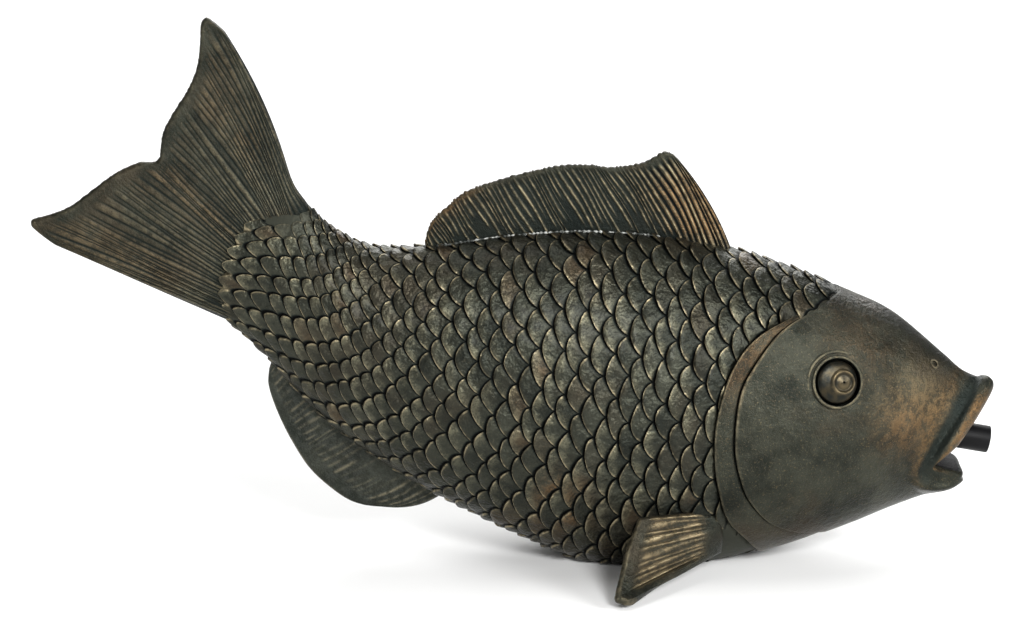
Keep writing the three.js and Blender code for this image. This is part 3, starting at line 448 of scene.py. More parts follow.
def scaledTrunk():
    # a diamond lattice of scales: cell (i, j) spans i to i + 2 half pitches and row j - 1 to j + 1, and its
    # point (p, q) is the sum of two quarter arcs, one leaning to each side, so the rear edges p = 1 and q = 1
    # are round; the height is 1 less a power of 1 - p, times the same of q: 0 in front, full at the rear tip
    i, j, number = latticeCells()
    columns, rows = scales["halfPitches"], scales["rows"]
    cut = np.array(scales["cuts"])
    k = scales["roundness"]
    arcU = (1 - k) * cut + k * np.sin(cut * np.pi / 2)
    arcV = (1 - k) * cut + k * (1 - np.cos(cut * np.pi / 2))
    u = i[:, None, None] + arcU[None, :, None] + arcU[None, None, :]
    v = j[:, None, None] + arcV[None, :, None] - arcV[None, None, :]
    p, q = np.broadcast_arrays(cut[None, :, None], cut[None, None, :])
    low, high = np.minimum(p, q), np.maximum(p, q)
    wave = 2 * np.pi * v / rows   # a few waves along and round the fish make the scales uneven
    bend = scales["uneven"] * ease(u, 0, 3) * (1 - ease(u, columns - 3, columns))
    u, v = (u + bend * (np.sin(5 * wave + 0.9 * u) + 0.6 * np.sin(11 * wave - 1.7 * u)),
            v + bend * (np.sin(7 * wave + 0.8 * u + 1) + 0.6 * np.sin(13 * wave - 1.6 * u + 2)))
    share, t, angle = latticeOnSkin(u, v)

    tint = rng.random(len(i))[:, None, None]
    lean = (rng.random(len(i))[:, None, None] - 0.5) * scales["tilt"]
    relief = scales["relief"] + (scales["tailRelief"] - scales["relief"]) * share
    turn, phase = (rng.random(len(i))[:, None, None] * 2 * np.pi for _ in range(2))
    lump = scales["lumps"] * np.sin(4.2 * (p * np.cos(turn) + q * np.sin(turn)) + phase)
    rise = (1 - (1 - p) ** scales["rise"]) * (1 - (1 - q) ** scales["rise"])
    rise = rise * (1 + 0.25 * (tint - 0.5) + lean * (p - q) + lump)
    height = relief * (rise - scales["rimDrop"] * ease(high, *scales["dropSpan"]) * low)

    last = ease(t, scales["tailStart"], 1.0)
    bulge = scales["tailBulge"] * last * np.abs(np.sin(angle)) ** 1.3
    runOut = np.array(scales["tailWay"]) * bulge[..., None]
    bare = bodyAt(t, angle) + runOut
    x, z = bare[..., 0], bare[..., 2]
    ofScale = lambda field: field[:, 4:5, 4:5]   # the value near a scale's middle, for the whole scale
    past = x - edgeX(gill["flap"], z)
    cutOff = napeOpen(angle)   # over the nape whole scales stay or go, lower down the flap cuts across them
    hidden = ease(past * cutOff + ofScale(past) * (1 - cutOff), -0.2, 1.0)
    sunk = scales["napeSunk"] + (scales["sunk"] - scales["napeSunk"]) * cutOff
    scaly = np.ones_like(tint)
    for x0, z0, inner, outer in scales["smooth"]:
        scaly = scaly * ease(ofScale(np.hypot(x - x0, z - z0)), inner, outer)
    out = height * scaly * (1 - hidden) - sunk * hidden
    skin = bodyAt(t, angle, out) + runOut
    skin[..., 1] = skin[..., 1] * (1 - scales["tailPinch"] * last)
    points, faces = trunkMesh(i, j, number, flattened(skin, hidden).reshape(-1, 3))

    # paint: painted shade in the grooves and under each front fin, worn rims with a painted highlight, some
    # scales worn to copper, and flecks of painted sheen inside some rims on the flanks
    x0, z0, reach = scales["copper"]
    near = np.exp(-((x - x0) ** 2 + (z - z0) ** 2) / reach**2)
    worn = scales["worn"] * near * ease(tint, 0.3, 0.5) + scales["odd"] * ease(tint, 0.9, 0.96)
    # painted shadow of the front fin on the skin above it
    x0, z0, reachX, reachZ = scales["hollow"]
    hollow = scales["hollowed"] * np.exp(-((x - x0) / reachX) ** 2 - ((z - z0) / reachZ) ** 2)
    painted = scaly * (1 - hidden * (1 - cutOff))   # no scale edges on the smooth parts
    # painted shade in the groove along each scale's front edge, under the scale ahead
    grooveShade = (1 - ease(low - 0.07 * ease(high, 0.6, 1.0), *scales["grooveShadeSpan"])) * painted
    shown = ease(low, 0.08, 0.3) * painted
    flank = ease(np.abs(np.sin(angle)), 0.3, 0.9)
    # flecks of painted sheen on the flank scales
    sheenFlecked = scales["sheenFlecks"] * flank * ease(high, *scales["sheenFleckSpan"])
    sheenFlecked = sheenFlecked * ease(np.mod(7 * tint, 1), 0.15, 0.9)
    fields = {"paintedShade": np.maximum(grooveShade, hollow), "rim": ease(high, *scales["rimWearAndHighlightSpan"]) * shown,
              "scaleTint": tint, "rub": worn, "pale": sheenFlecked * shown, "bare": 1 - scaly}
    values = {key: np.concatenate([np.broadcast_to(field, u.shape).ravel(), [0, 0]])
              for key, field in fields.items()}
    return points, faces, values


trunkPoints, trunkFaces, trunkValues = scaledTrunk()
putMesh("scaled_trunk", trunkPoints, trunkFaces, trunkValues, scaleFinish, "fish",
        ("left_half_casting", "right_half_casting"), crease=50)


# head: gill steps, cheeks, lips and the inside of the mouth

spout = {   # millimetres; the tube's tip, its pitch below level in degrees
    "tip": (132.0, 0, 45.5), "pitch": 9.8, "outer": 5.25, "bore": 3.5, "length": 60.0, "lip": 0.35,
    "turns": 72,
}
pitch = math.radians(spout["pitch"])
jetTip = np.array(spout["tip"])
jetForward = np.array([math.cos(pitch), 0, -math.sin(pitch)])
jetUp = np.array([math.sin(pitch), 0, math.cos(pitch)])
acrossFish = np.array([0, 1.0, 0])

head = {
    "angles": 240, "rows": 92,
    # left halves of three rings, top to chin: inner edge of the lips, fold behind them, edge of the cheek
    "rim": [[129.4, 0, 67.6], [122.8, 9.5, 58.8], [115.4, 13.3, 49], [107.6, 14.4, 40.2],
            [112.6, 14.2, 37.4], [119.1, 11.9, 35.3], [119.8, 0, 35]],
    "trough": [[126.6, 0, 71], [119.4, 11.3, 61.6], [111.2, 15.5, 49.6], [105, 16.1, 37.6],
               [111.3, 15.2, 33], [120.3, 12.6, 32], [121.2, 0, 31.2]],
    "ridge": [[120.5, 0, 73.9], [114.6, 11.6, 66.5], [107.6, 16.9, 52], [102.2, 17.9, 37.6],
              [105, 16.6, 31], [115, 12.8, 28.8], [117, 0, 27.4]],
    "cheekEnd": 0.055, "upperLip": 3.8, "lowerLip": 1.6, "flush": 0.85, "lipSteps": 7,
    # the lips' section: shares of the lip's radius, out from the jet's line and forward along it
    "lipSection": [(0.95, -0.3), (0.95, 0.3), (0.55, 0.86), (-0.1, 1.0), (-0.65, 0.55), (-0.95, -0.2),
                   (-1.1, -1.4)],
    "throat": [(11.9, 23.0), (11.9, 31.0)],   # radius, and depth behind the spout's tip
    "tunnel": [(10.4, 31.3), (8.2, 31.3), (8.2, 36.0), (12.2, 36.0)],
    "cheek": (98, 59, 11), "cheekHighlight": (102, 67, 14), "brow": (78, 93, 15),   # paint: x, z, reach
}
eye = {   # place on the skin, then millimetres
    "t": 0.19, "angle": 68.0, "out": 2.0,
    "socket": (8.2, 9.4), "socketShade": (8.4, 9.7), "socketDepth": 5.0,
    "ball": 8.2, "dome": 2.6, "depth": 3.6, "sink": 0.5, "turns": 72,
    "pupilShift": 2.0, "irisRing": 4.2, "ringWide": 0.5, "ringHigh": 0.55,
    "well": 0.35, "cone": 0.55, "pit": 0.7,
    "lidRing": 9.6, "lidTube": 0.75, "lidSides": 16, "lidRise": 0.35,
    "crease": 150.0, "creaseOut": 2.0, "creaseSink": 1.6,   # a fainter ring, highest at this angle
}


def eyePlace(side):
    # the eye's spot on the left, 1, or on the right, -1
    return skinFrame(eye["t"], side * math.radians(eye["angle"]), eye["out"])


def mouthRing(name, angle):
    # closed smooth curve through a ring's points, mirrored; the share lags the angle by a twelfth of its sine
    left = np.array(head[name], float)
    right = left[-2:0:-1] * np.array([1, -1, 1])
    share = angle / (2 * np.pi) - np.sin(angle) / 12
    return alongSpline(np.concatenate([left, right]), share, closed=True), share


def lipRing(angle, outward, forward):
    # the mouth's rim, set out from the jet's line and forward along it by shares of the lip's radius
    point, share = mouthRing("rim", angle)
    away = point - jetTip
    away = unit(away - (away @ jetForward)[..., None] * jetForward)
    lower = ease(1 - np.abs(1 - 2 * share), 0.34, 0.54)
    radius = (head["upperLip"] + (head["lowerLip"] - head["upperLip"]) * lower)[..., None]
    if outward > 0:   # the lower lip's front is flush with the jaw
        forward = forward + (1 - forward) * head["flush"] * lower[..., None]
    return point + (away * outward + jetForward * forward) * radius


def throatRing(angle, radius, depth):
    # a circle round the jet's line
    return (jetTip - jetForward * depth + radius
            * (np.cos(angle)[:, None] * jetUp + np.sin(angle)[:, None] * acrossFish))


def gillRows(angle):
    # t, height, painted shade and rim highlight of the rows from under the gill flap, over both gill steps
    # and along the cheek, and whether each point lies on the band between the steps
    flap = crossing(gill["flap"], angle, gill["flapRise"])
    cover = np.minimum(crossing(gill["cover"], angle, gill["coverRise"]), flap - 0.002)
    speed = np.linalg.norm(bodyAt(flap + 0.005, angle) - bodyAt(flap - 0.005, angle), axis=1) / 0.01
    band = flap - cover
    step = np.minimum(gill["edge"] / speed, band * 0.2)
    shown = napeOpen(angle)
    flapTop = gill["napeFlap"] + (gill["flapRise"] - gill["napeFlap"]) * shown
    coverTop = gill["napeCover"] + (gill["coverRise"] - gill["napeCover"]) * shown
    last = head["cheekEnd"] * ease(np.abs(np.sin(angle)), 0.2, 1)
    rows = []

    def row(t, out, paintedShade=0.0, rim=0.0):
        rows.append((t, np.broadcast_to(out, t.shape), paintedShade * shown, rim * shown))

    # painted shade under the flap and in the step grooves, a painted highlight along the step edges
    row(flap, -2.8, 1)
    row(flap, -0.6, 1)
    row(flap, flapTop * 0.75, 0.35)
    row(flap - step * 0.5, flapTop * 0.96, 0, 1)
    row(flap - step, flapTop, 0, 0.6)
    for s in np.linspace(0.06, 0.94, 9):
        crown = 0.45 * np.sin(np.pi * s) * ease(band, 0, 0.04)
        row(flap - step + (cover + step - flap + step) * s, flapTop + crown)
    row(cover + step, flapTop * 0.75, 0.5)
    row(cover + step * 0.35, flapTop * 0.35, 1)
    row(cover, flapTop * 0.35, 1)
    row(cover, coverTop * 0.8, 0.2, 0.4)
    row(cover - step * 0.5, coverTop * 0.97, 0, 1)
    row(cover - step, coverTop, 0, 0.6)
    cheek = gill["coverRise"] * (0.4 + 0.6 * shown)
    for s in np.linspace(0, 1, head["rows"])[1:]:
        t = (cover - step) * (1 - s) + last * s
        row(t, (coverTop + (cheek - coverTop) * ease(s, 0, 0.6)) * ease(t, 0, 0.12))
    t, out, paintedShade, rim = (np.stack(part) for part in zip(*rows))
    return t, out, paintedShade, rim, (t > cover) & (t < flap)


def mouthRows(skin, angle):
    # smooth through guiding rings, from the cheek over the lips into the throat, then a square step to its
    # tunnel; with them goes the ring number of each row
    rings = [skin[-5], skin[-1], mouthRing("ridge", angle)[0], mouthRing("trough", angle)[0],
             *(lipRing(angle, *place) for place in head["lipSection"]),
             *(throatRing(angle, *ring) for ring in head["throat"])]
    spans = len(rings) - 1
    share = np.linspace(1 / spans, 1, (spans - 1) * head["lipSteps"] + 1)[1:]
    mouth = alongSpline(np.stack(rings).reshape(spans + 1, -1), share).reshape(-1, len(angle), 3)
    return mouth, np.stack([throatRing(angle, *ring) for ring in head["tunnel"]]), share * spans


def headSkin():
    # rows run from under the gill flap to the lips, and back through the mouth and throat to the start; along
    # each row the angle goes once round the fish
    count = head["angles"]
    angle = np.arange(count) * 2 * np.pi / count
    t, out, paintedShade, rim, onBand = gillRows(angle)
    wide = np.broadcast_to(angle, t.shape)
    bare = bodyAt(t, wide, out)
    away = np.minimum(*(np.linalg.norm(bare - eyePlace(side)[0], axis=-1) for side in (1, -1)))
    out = out - eye["socketDepth"] * (1 - ease(away, *eye["socket"]))
    # painted shade in each eye socket
    paintedShade = np.maximum(paintedShade, 1 - ease(away, *eye["socketShade"]))
    skin = flattened(bodyAt(t, wide, out))
    mouth, wall, along = mouthRows(skin, angle)
    points = np.concatenate([skin, mouth, wall])
    x, y, z = points[..., 0], points[..., 1], points[..., 2]

    # paint: copper lips, a cool fold behind them and painted shade in the mouth and eye sockets; cheek worn
    # to copper with a painted highlight above it, copper wear and a painted highlight along the ridge, gill
    # band worn near its top, a painted highlight on the gill rims that grows towards the top, muzzle dark
    # along its top
    # rings: 1 the cheek's end, 2 the ridge, 3 the trough, 4 to 10 the lips, 11 and 12 the throat
    pad = lambda *parts: np.concatenate([np.broadcast_to(part, grid.shape[:2])
                                         for part, grid in zip(parts, (skin, mouth, wall))])
    upper = 1 - ease(1 - np.abs(1 - angle / np.pi), 0.55, 0.85)
    ring = lambda amount: pad(0, amount[:, None] * upper, 0)
    before = lambda low, high: pad(1, 1 - ease(along, low, high)[:, None], 0)
    sideView = lambda x0, z0, reach: np.exp(-((x - x0) ** 2 + (z - z0) ** 2) / reach**2)
    lip = ring(ease(along, 4.0, 4.9) * (1 - ease(along, 6.9, 7.6))) * (1 - ease(z, 63, 69))
    fold = ring(ease(along, 2.1, 2.7) * (1 - ease(along, 3.7, 4.5)))
    # copper wear and a painted highlight along the ridge
    edge = ring(np.exp(-((along - 1.9) / 0.35) ** 2))
    # painted shade inside the mouth
    inside = pad(0, ease(along, 7.6, 9.6)[:, None], 1)
    nearHead = ease(x, 60, 80) * np.clip(np.abs(y) / 15, 0, 1) * before(2.0, 2.6)
    cheek = 0.4 * sideView(*head["cheek"]) * nearHead
    # painted highlight on the cheek
    pale = 0.55 * sideView(*head["cheekHighlight"]) * nearHead
    brow = 0.12 * sideView(*head["brow"]) * ease(x, 50, 66) * (1 - pad(paintedShade, 0, 0))
    muzzle = 0.5 * (1 - ease(np.abs(y), 6, 20)) * ease(z, 60, 75) * before(3.5, 4.5)
    bandRub = (0.22 * pad(onBand, 0, 0) + 0.25 * pad(rim, 0, 0)) * ease(z, 62, 88) * napeOpen(angle)
    values = {
        "paintedShade": np.maximum(pad(paintedShade, 0, 0), inside),
        # rims of the gill steps carry a painted highlight, stronger towards the top
        "rim": pad(rim, 0, 0) * (0.25 + 0.45 * ease(z, 45, 80)),
        "scaleTint": np.array(0.5),
        "rub": cheek + brow + bandRub + 0.45 * lip + 0.25 * edge,
        "pale": pale + 0.3 * lip + 0.3 * edge,
        "fold": np.maximum(muzzle, fold),
    }
    values = {key: np.broadcast_to(field, x.shape).ravel() for key, field in values.items()}
    return points, [gridQuads(len(points), count, wrapRows=True, wrapColumns=True)], values


headPoints, headFaces, headValues = headSkin()
putMesh("head_and_mouth", headPoints, headFaces, headValues, skinFinish, "fish",
        ("left_half_casting", "right_half_casting"), crease=55)


# eyes, eyelids and nostrils

def turned(spot, normal, forward, sideways, radius, height, turns, shift=0.0):
    # a profile of radii and heights turned about the outward direction, its centre shifted forward row by row
    a = np.arange(turns) * 2 * np.pi / turns
    radius, height = np.asarray(radius, float), np.asarray(height, float)
    ahead = radius[:, None] * np.cos(a) + np.broadcast_to(shift, radius.shape)[:, None]
    aside = radius[:, None] * np.sin(a)
    return (spot + ahead[..., None] * forward + aside[..., None] * sideways
            + np.broadcast_to(height[:, None, None] * normal, (len(radius), turns, 3)))


eyePaint = {   # linear colours
    "dark": (0.011, 0.012, 0.010), "brown": (0.034, 0.027, 0.015), "ring": (0.20, 0.155, 0.085),
    "black": (0.004, 0.005, 0.004),
}


def eyeFinish():
    # dark resin with brown clouds, a pale ring round the pupil, and painted shade, black, in the pit and
    # along the lid
    material, wire, shader, place = newFinish("eyeResin")
    cloud = wire.noise(place, 260, 3).step(0.35, 0.7)
    grit = wire.noise(place, 1700, 3)
    colour = cloud.between(eyePaint["dark"], eyePaint["brown"])
    colour = (wire.value("ring") * (0.3 + 0.5 * cloud)).between(colour, eyePaint["ring"])
    colour = wire.value("paintedShade").step(0.2, 0.9).between(colour, eyePaint["black"])
    bump = grit.bump(0.3, 0.0002)
    feed(shader, Base_Color=colour, Roughness=0.24 + 0.2 * grit, Normal=bump, Metallic=0.7,
         Specular_IOR_Level=0.2)
    return material


eyeMaterial = eyeFinish()


def makeEye(name, side):
    # a domed button: a raised ring round the pupil, a low cone inside it and a pit at its middle
    s = np.concatenate([np.linspace(1, 0.02, 44), [0]])
    radius = eye["ball"] * s
    ring = np.exp(-((radius - eye["irisRing"]) / eye["ringWide"]) ** 2)
    height = eye["dome"] * np.sqrt(np.maximum(1 - s**2, 0)) ** 0.85
    height = height + eye["ringHigh"] * ring - eye["well"] * (1 - ease(radius, 2.6, 3.9))
    height = height + eye["cone"] * np.clip(1 - radius / 3, 0, 1) - eye["pit"] * (1 - ease(radius, 0.1, 0.55))
    radius = np.concatenate([[0, eye["ball"]], radius])
    height = np.concatenate([[-eye["depth"], -eye["depth"]], height - eye["sink"]])
    shift = eye["pupilShift"] * (1 - ease(radius, 3.8, eye["ball"]))
    shift[:2] = 0
    points = turned(*eyePlace(side), radius, height, eye["turns"], shift)
    each = lambda row: np.repeat(row, eye["turns"])
    values = {"ring": each(np.concatenate([[0, 0], 0.9 * ring + 0.35 * (1 - ease(s, 0.2, 0.4))])),
              # painted shade in the pit and where the eye meets the lid
              "paintedShade": each(np.concatenate([[1, 1], 0.9 * ease(s, 0.93, 1.0) + (s < 0.06)]))}
    faces = [gridQuads(len(radius), eye["turns"], wrapColumns=True)]
    putMesh(name, points, faces, values, eyeMaterial, "fish",
            ("left_eye" if side > 0 else "right_eye",), crease=60)


def makeLids():
    # a ring of round section in each socket's mouth, flattened, with a fainter crease behind and above it
    turns, thick = eye["turns"], eye["lidTube"]
    tube = np.arange(eye["lidSides"]) * 2 * np.pi / eye["lidSides"]
    turn = np.arange(turns) * 2 * np.pi / turns
    radius = eye["lidRing"] + thick * np.cos(tube)
    parts = []
    for side in (1, -1):
        place = eyePlace(side)
        parts.append(turned(*place, radius, eye["lidRise"] + 0.8 * thick * np.sin(tube), turns))
        outer = turned(*place, radius + eye["creaseOut"], 0.5 * thick * np.sin(tube), turns)
        behind = 0.5 + 0.5 * np.cos(turn + side * math.radians(eye["crease"]))
        parts.append(outer - (eye["creaseSink"] * (1 - behind**2))[None, :, None] * place[1])
    faces = [gridQuads(len(tube), turns, k * len(tube) * turns, True, True) for k in range(len(parts))]
    each = lambda row: np.repeat(np.tile(row, len(parts)), turns)
    # painted shade under each ring and a painted highlight along its top
    values = {"paintedShade": each(ease(-np.cos(tube), 0.2, 0.9)), "rim": each(0.3 * ease(np.sin(tube), 0.6, 1.0)),
              "scaleTint": 0.5}
    putMesh("eyelids", joined(parts), faces, values, skinFinish, "fish", crease=60)


nostril = {"t": 0.03, "angle": 33.0, "out": 0.25, "ring": 1.55, "tube": 0.5, "turns": 28}


def makeNostrils():
    # a small ring on each side of the muzzle, with painted shade in the dark dimple inside and a painted
    # highlight along the ring's crest
    turns = nostril["turns"]
    arc = np.linspace(-0.3 * np.pi, 1.15 * np.pi, 10)
    radius = np.concatenate([[0], nostril["ring"] + nostril["tube"] * np.cos(arc), [0.3, 0]])
    height = np.concatenate([[-1.6], nostril["tube"] * np.sin(arc), [-0.25, -0.28]])
    parts = []
    for side in (1, -1):
        place = skinFrame(nostril["t"], side * math.radians(nostril["angle"]), nostril["out"])
        parts.append(turned(*place, radius, height, turns))
    rows = len(radius)
    faces = [gridQuads(rows, turns, k * rows * turns, False, True) for k in (0, 1)]
    each = lambda row: np.repeat(np.tile(row, 2), turns)
    crest = np.concatenate([[0], np.sin(np.clip(arc, 0, np.pi)), [0, 0]])
    values = {"paintedShade": each(np.arange(rows) >= 8), "rim": each(0.35 * crest), "scaleTint": 0.5}
    putMesh("nostrils", joined(parts), faces, values, skinFinish, "fish", crease=60)


makeEye("left_eyeball", 1)
makeEye("right_eyeball", -1)
makeLids()
makeNostrils()


# fins

fins = {   # roots lie inside the body; millimetres
    "sink": 5.5, "least": 0.5, "firstSpan": (0.1, 0.26),
    "usual": {   # for fins that say nothing else
        "root": 6.0, "rim": 2.8, "fork": 0.0, "flare": 0.0, "firstRays": 0.0, "foot": -1, "spread": 0.6,
        "lastRay": 2, "wave": 0.003, "teeth": 0.3, "bow": 4.0, "borderHighlight": 0.35},
    "dorsal": {
        "edge": [[10.5, 156.4], [7.6, 159], [4.6, 159.7], [2.4, 158.4], [-5, 155], [-16, 153.6], [-23, 154.5],
                 [-35, 154.2], [-53, 150.2], [-70, 144.4], [-78, 138], [-84, 132], [-86.5, 124]],
        "from": 0.333, "to": 0.665, "rays": 58, "relief": 0.8, "smooth": 0.03, "thin": 8.0, "shine": 1.15,
        "shade": 0.62, "ragged": 0.6, "cool": 0.15, "bow": 2.5, "borderHighlight": 0.08, "teeth": 0.7, "firstRays": 0.8},
    "tail": {
        "edge": [[-161.1, 205.8], [-164.9, 209.4], [-168.2, 211.3], [-170.2, 208.2], [-170.6, 202.1],
                 [-172, 192.4], [-175.5, 184], [-181.8, 174.1], [-185.3, 167.5], [-186.6, 161.2],
                 [-187, 157.7], [-188.9, 155.9], [-195, 155.5], [-202.6, 152.2], [-208.8, 148],
                 [-215.8, 142.6], [-222.6, 137.9], [-230.6, 134.9], [-235.6, 133.5], [-236.8, 131.2],
                 [-233.5, 127.8], [-228, 123.6]],
        "at": 0.917, "rays": 54, "relief": 0.55, "root": 10.0, "rim": 3.2, "fork": 0.3, "smooth": 0.04,
        "thin": 2.0, "shine": 0.24, "shade": 0.7, "wave": 0.006, "ragged": 0.25, "cool": 0.12, "flare": 5.0,
        "borderHighlight": 0.12},
    "anal": {
        "edge": [[-103.5, 18.6], [-112, 19.2], [-120, 22.9], [-131.2, 33], [-138.8, 45.2], [-144.3, 57.4],
                 [-147.3, 67.5], [-147, 74]],
        "from": 0.66, "to": 0.9, "rays": 30, "relief": 0.22, "smooth": 0.2, "thin": 6.0, "shine": 0.4,
        "shade": 0.15, "ragged": 0.5, "cool": 0.3, "teeth": 0.0},
    "pectoral": {
        "root3": [[24.2, -30.0, 25.6], [27.2, -28.0, 17.9], [26.0, -24.0, 8.2]],
        "edge3": [[-5.1, -43, 27.5], [-9.8, -51, 18.5], [-12.6, -59, 10.5], [-14.6, -67, 4.4],
                  [-13.3, -68.4, 3.3], [-10.4, -68.6, 2.6], [-7.5, -66.6, 2.7]],
        "rays": 12, "relief": 0.8, "rim": 3.0, "smooth": 0.12, "thin": 2.8, "shine": 1.1, "shade": 0.45,
        "wave": 0.012, "ragged": 0.0, "cool": 0.1, "bow": 0.8, "foot": 0.16, "spread": 0.2, "lastRay": 0.9},
}


def finRoot(columns, start, end):
    # points below the back or belly line, towards the middle of the section
    t = np.linspace(start, end, 24)
    row = alongSpline(bodyLines, t)
    line = row[:, columns]
    middle = (row[:, 0:2] + row[:, 2:4]) / 2
    inset = line + unit(middle - line) * fins["sink"]
    return np.stack([inset[:, 0], np.zeros(24), inset[:, 1]], -1)


def firstRays(look, a):
    # how much the foremost rays stand out, falling to 0 along the root
    return look["firstRays"] * (1 - ease(a, *fins["firstSpan"]))


def rayPattern(look, r, a):
    # each ray is a ridge, the sine of the ray count to a power, uneven in width, strength and start, forking
    # further out where the look says so; with it, where rays show at all and the tooth each ends in
    count = look["rays"]
    widths = 1 + look["spread"] * rng.uniform(-1, 1, count)
    ends = np.concatenate([[0], np.cumsum(widths)]) / widths.sum()
    phase = np.interp(a + look["wave"] * np.sin(6 * r + 40 * a), ends, np.arange(count + 1))
    rayOf = phase.astype(int)
    strength = rng.uniform(0.25, 1.0, count + 1)[rayOf]
    thin = look["thin"] * (1 - 0.6 * firstRays(look, a))
    single, double = (strength * np.abs(np.sin(k * np.pi * phase)) ** thin for k in (1, 2))
    ridge = single + (double - single) * ease(r, 0.5, 0.7) * look["fork"]
    start = look["ragged"] * rng.uniform(-0.15, 1, count + 1)[rayOf] * ease(a, 0.12, 0.3)
    ridge = ridge * ease(r, start, start + 0.2)
    shown = 1 - ease(r, 1 - look["smooth"] - 0.08, 1 - look["smooth"] + 0.02)
    shown = shown * ease(r, look["foot"], look["foot"] + 0.14)
    shown = shown * (1 - ease(a, look["lastRay"] - 0.1, look["lastRay"]))
    tooth = look["teeth"] * strength * np.abs(np.sin(np.pi * phase)) * ease(r, 0.9, 1.0)
    return ridge, np.broadcast_to(shown, ridge.shape), tooth


def finSheet(root, edge, look, rowCount, perRay=8, mirror=1):
    # straight rays from root to outer edge, the first of them bowed and flared at the foot; both faces stand
    # off the middle sheet by half the thickness, which is less between rays, falls evenly outwards and runs
    # out in a half round along the border
    a = np.linspace(0, 1, look["rays"] * perRay + 1)
    a = np.concatenate([[0, 0.0012, 0.004], a[1:-1], [0.996, 0.9988, 1]])
    r = 1 - (1 - np.linspace(0, 1, rowCount)) ** 1.35
    r = np.concatenate([[0], r[1:-1], [0.982, 0.992, 0.998, 1]]) if rowCount < 40 else r
    r = np.unique(np.round(r, 5))
    rootLine, edgeLine = byLength(root, a), byLength(edge, a)
    ray = edgeLine[0] - rootLine[0]
    outward = rootLine[0] - rootLine[-1]
    outward = unit(outward - ray * (outward @ ray) / (ray @ ray))
    r, a = r[:, None], a[None, :]
    bulge = look["bow"] * 4 * r * (1 - r) * np.maximum(0, 1 - 2 * a)
    bulge = bulge + look["flare"] * np.exp(-(r / 0.12) ** 2) * (1 - ease(a, 0, 0.12))
    middle = rootLine + (edgeLine - rootLine) * r[..., None] + outward * bulge[..., None]
    normal = unit(np.cross(np.gradient(middle, axis=1), np.gradient(middle, axis=0)))
    long = np.linalg.norm(edgeLine - rootLine, axis=1)[None, :]
    wide = np.linalg.norm(np.gradient(middle, axis=1), axis=-1).cumsum(1)
    inset = np.minimum(np.minimum(r, 1 - r) * long, np.minimum(wide - wide[:, :1], wide[:, -1:] - wide))
    half = (look["root"] + (look["rim"] - look["root"]) * r) / 2
    rounding = np.sqrt(np.clip(1 - (1 - np.clip(inset / half, 0, 1)) ** 2, 0, 1))
    ridge, shown, tooth = rayPattern(look, r, a)
    thick = np.maximum(half - look["relief"] * (1 - ridge) * shown, fins["least"]) * rounding
    middle = middle + unit(edgeLine - rootLine) * tooth[..., None]
    both = joined([middle + normal * thick[..., None], middle - normal * thick[..., None]])
    rows, columns = thick.shape
    faces = [gridQuads(rows, columns, start) for start in (0, rows * columns)]
    r, a = np.broadcast_arrays(r, a)
    return both * np.array([1, mirror, 1]), faces, ridge * shown, shown, r, a


def putFin(name, sheet, look, node, paleness, rub=None, finish=finFinish):
    # painted shade between the rays and a painted highlight along them, more so on the first rays, with a
    # painted highlight along the border
    points, faces, crest, shown, r, a = sheet
    twice = lambda field: np.tile(np.asarray(field).ravel(), 2)
    first = firstRays(look, a)
    shade = look["shade"] + (1 - look["shade"]) * first
    shine = look["shine"] * (1 + first) * crest ** (1 + 0.6 * first) * shown
    values = {"paintedShade": twice((1 - crest) ** (3 + 9 * first) * shown * shade),
              "rim": twice(shine + look["borderHighlight"] * ease(r, 0.955, 0.985)), "scaleTint": 0.5,
              "pale": twice(paleness(r, a, crest)), "fold": twice(look["cool"] * (1 - crest))}
    if rub:
        values["rub"] = twice(rub(r, a, crest))
    putMesh(name, points, faces, values, finish, "fish", (node,), crease=65)


def dorsalRub(r, a, crest):
    # the first rays worn to copper between foot and border, and the rear of the border
    firstWorn = 0.85 * (1 - ease(a, 0.1, 0.26)) * ease(r, 0.1, 0.3) * (1 - ease(r, 0.65, 0.95))
    return firstWorn + 0.35 * ease(a, 0.6, 0.85) * ease(r, 0.6, 0.95)


def dorsalPale(r, a, crest):
    # painted highlight on the crests, strongest on the first rays
    return 0.12 * crest + 0.45 * (1 - ease(a, 0.08, 0.24)) * crest * (1 - ease(r, 0.7, 0.95))


def pectoralRayed(r, a):
    # the part of a front fin that carries rays
    return ease(r, 0.15, 0.3) * (1 - ease(r, 0.78, 0.88)) * (1 - ease(a, 0.8, 0.92))


backOf, bellyOf = [0, 1], [2, 3]
inPlane = lambda line: np.array([[x, 0, z] for x, z in line], float)
dorsal, tail, anal, pectoral = ({**fins["usual"], **fins[k]} for k in ("dorsal", "tail", "anal", "pectoral"))
dorsalRoot = finRoot(backOf, dorsal["from"], dorsal["to"])
putFin("dorsal_sail", finSheet(dorsalRoot, inPlane(dorsal["edge"]), dorsal, 34, 13), dorsal, "dorsal_fin",
       dorsalPale, dorsalRub)
tailRow = alongSpline(bodyLines, np.array(tail["at"]))
tailEnds = np.stack([tailRow[0:2], tailRow[2:4]])
tailEnds = tailEnds + unit(tailEnds[::-1] - tailEnds) * fins["sink"]
tailRoot = inPlane(tailEnds[0] + (tailEnds[1] - tailEnds[0]) * np.linspace(0, 1, 12)[:, None])
# tail: a faint painted highlight on the crests, copper wear along some rays
putFin("tail_fan", finSheet(tailRoot, inPlane(tail["edge"]), tail, 60), tail, "tail_fin",
       lambda r, a, crest: 0.08 * crest,
       lambda r, a, crest: 0.3 * np.sin(a * 9) ** 2 * crest * ease(r, 0.3, 0.6))
analRoot = finRoot(bellyOf, anal["from"], anal["to"])
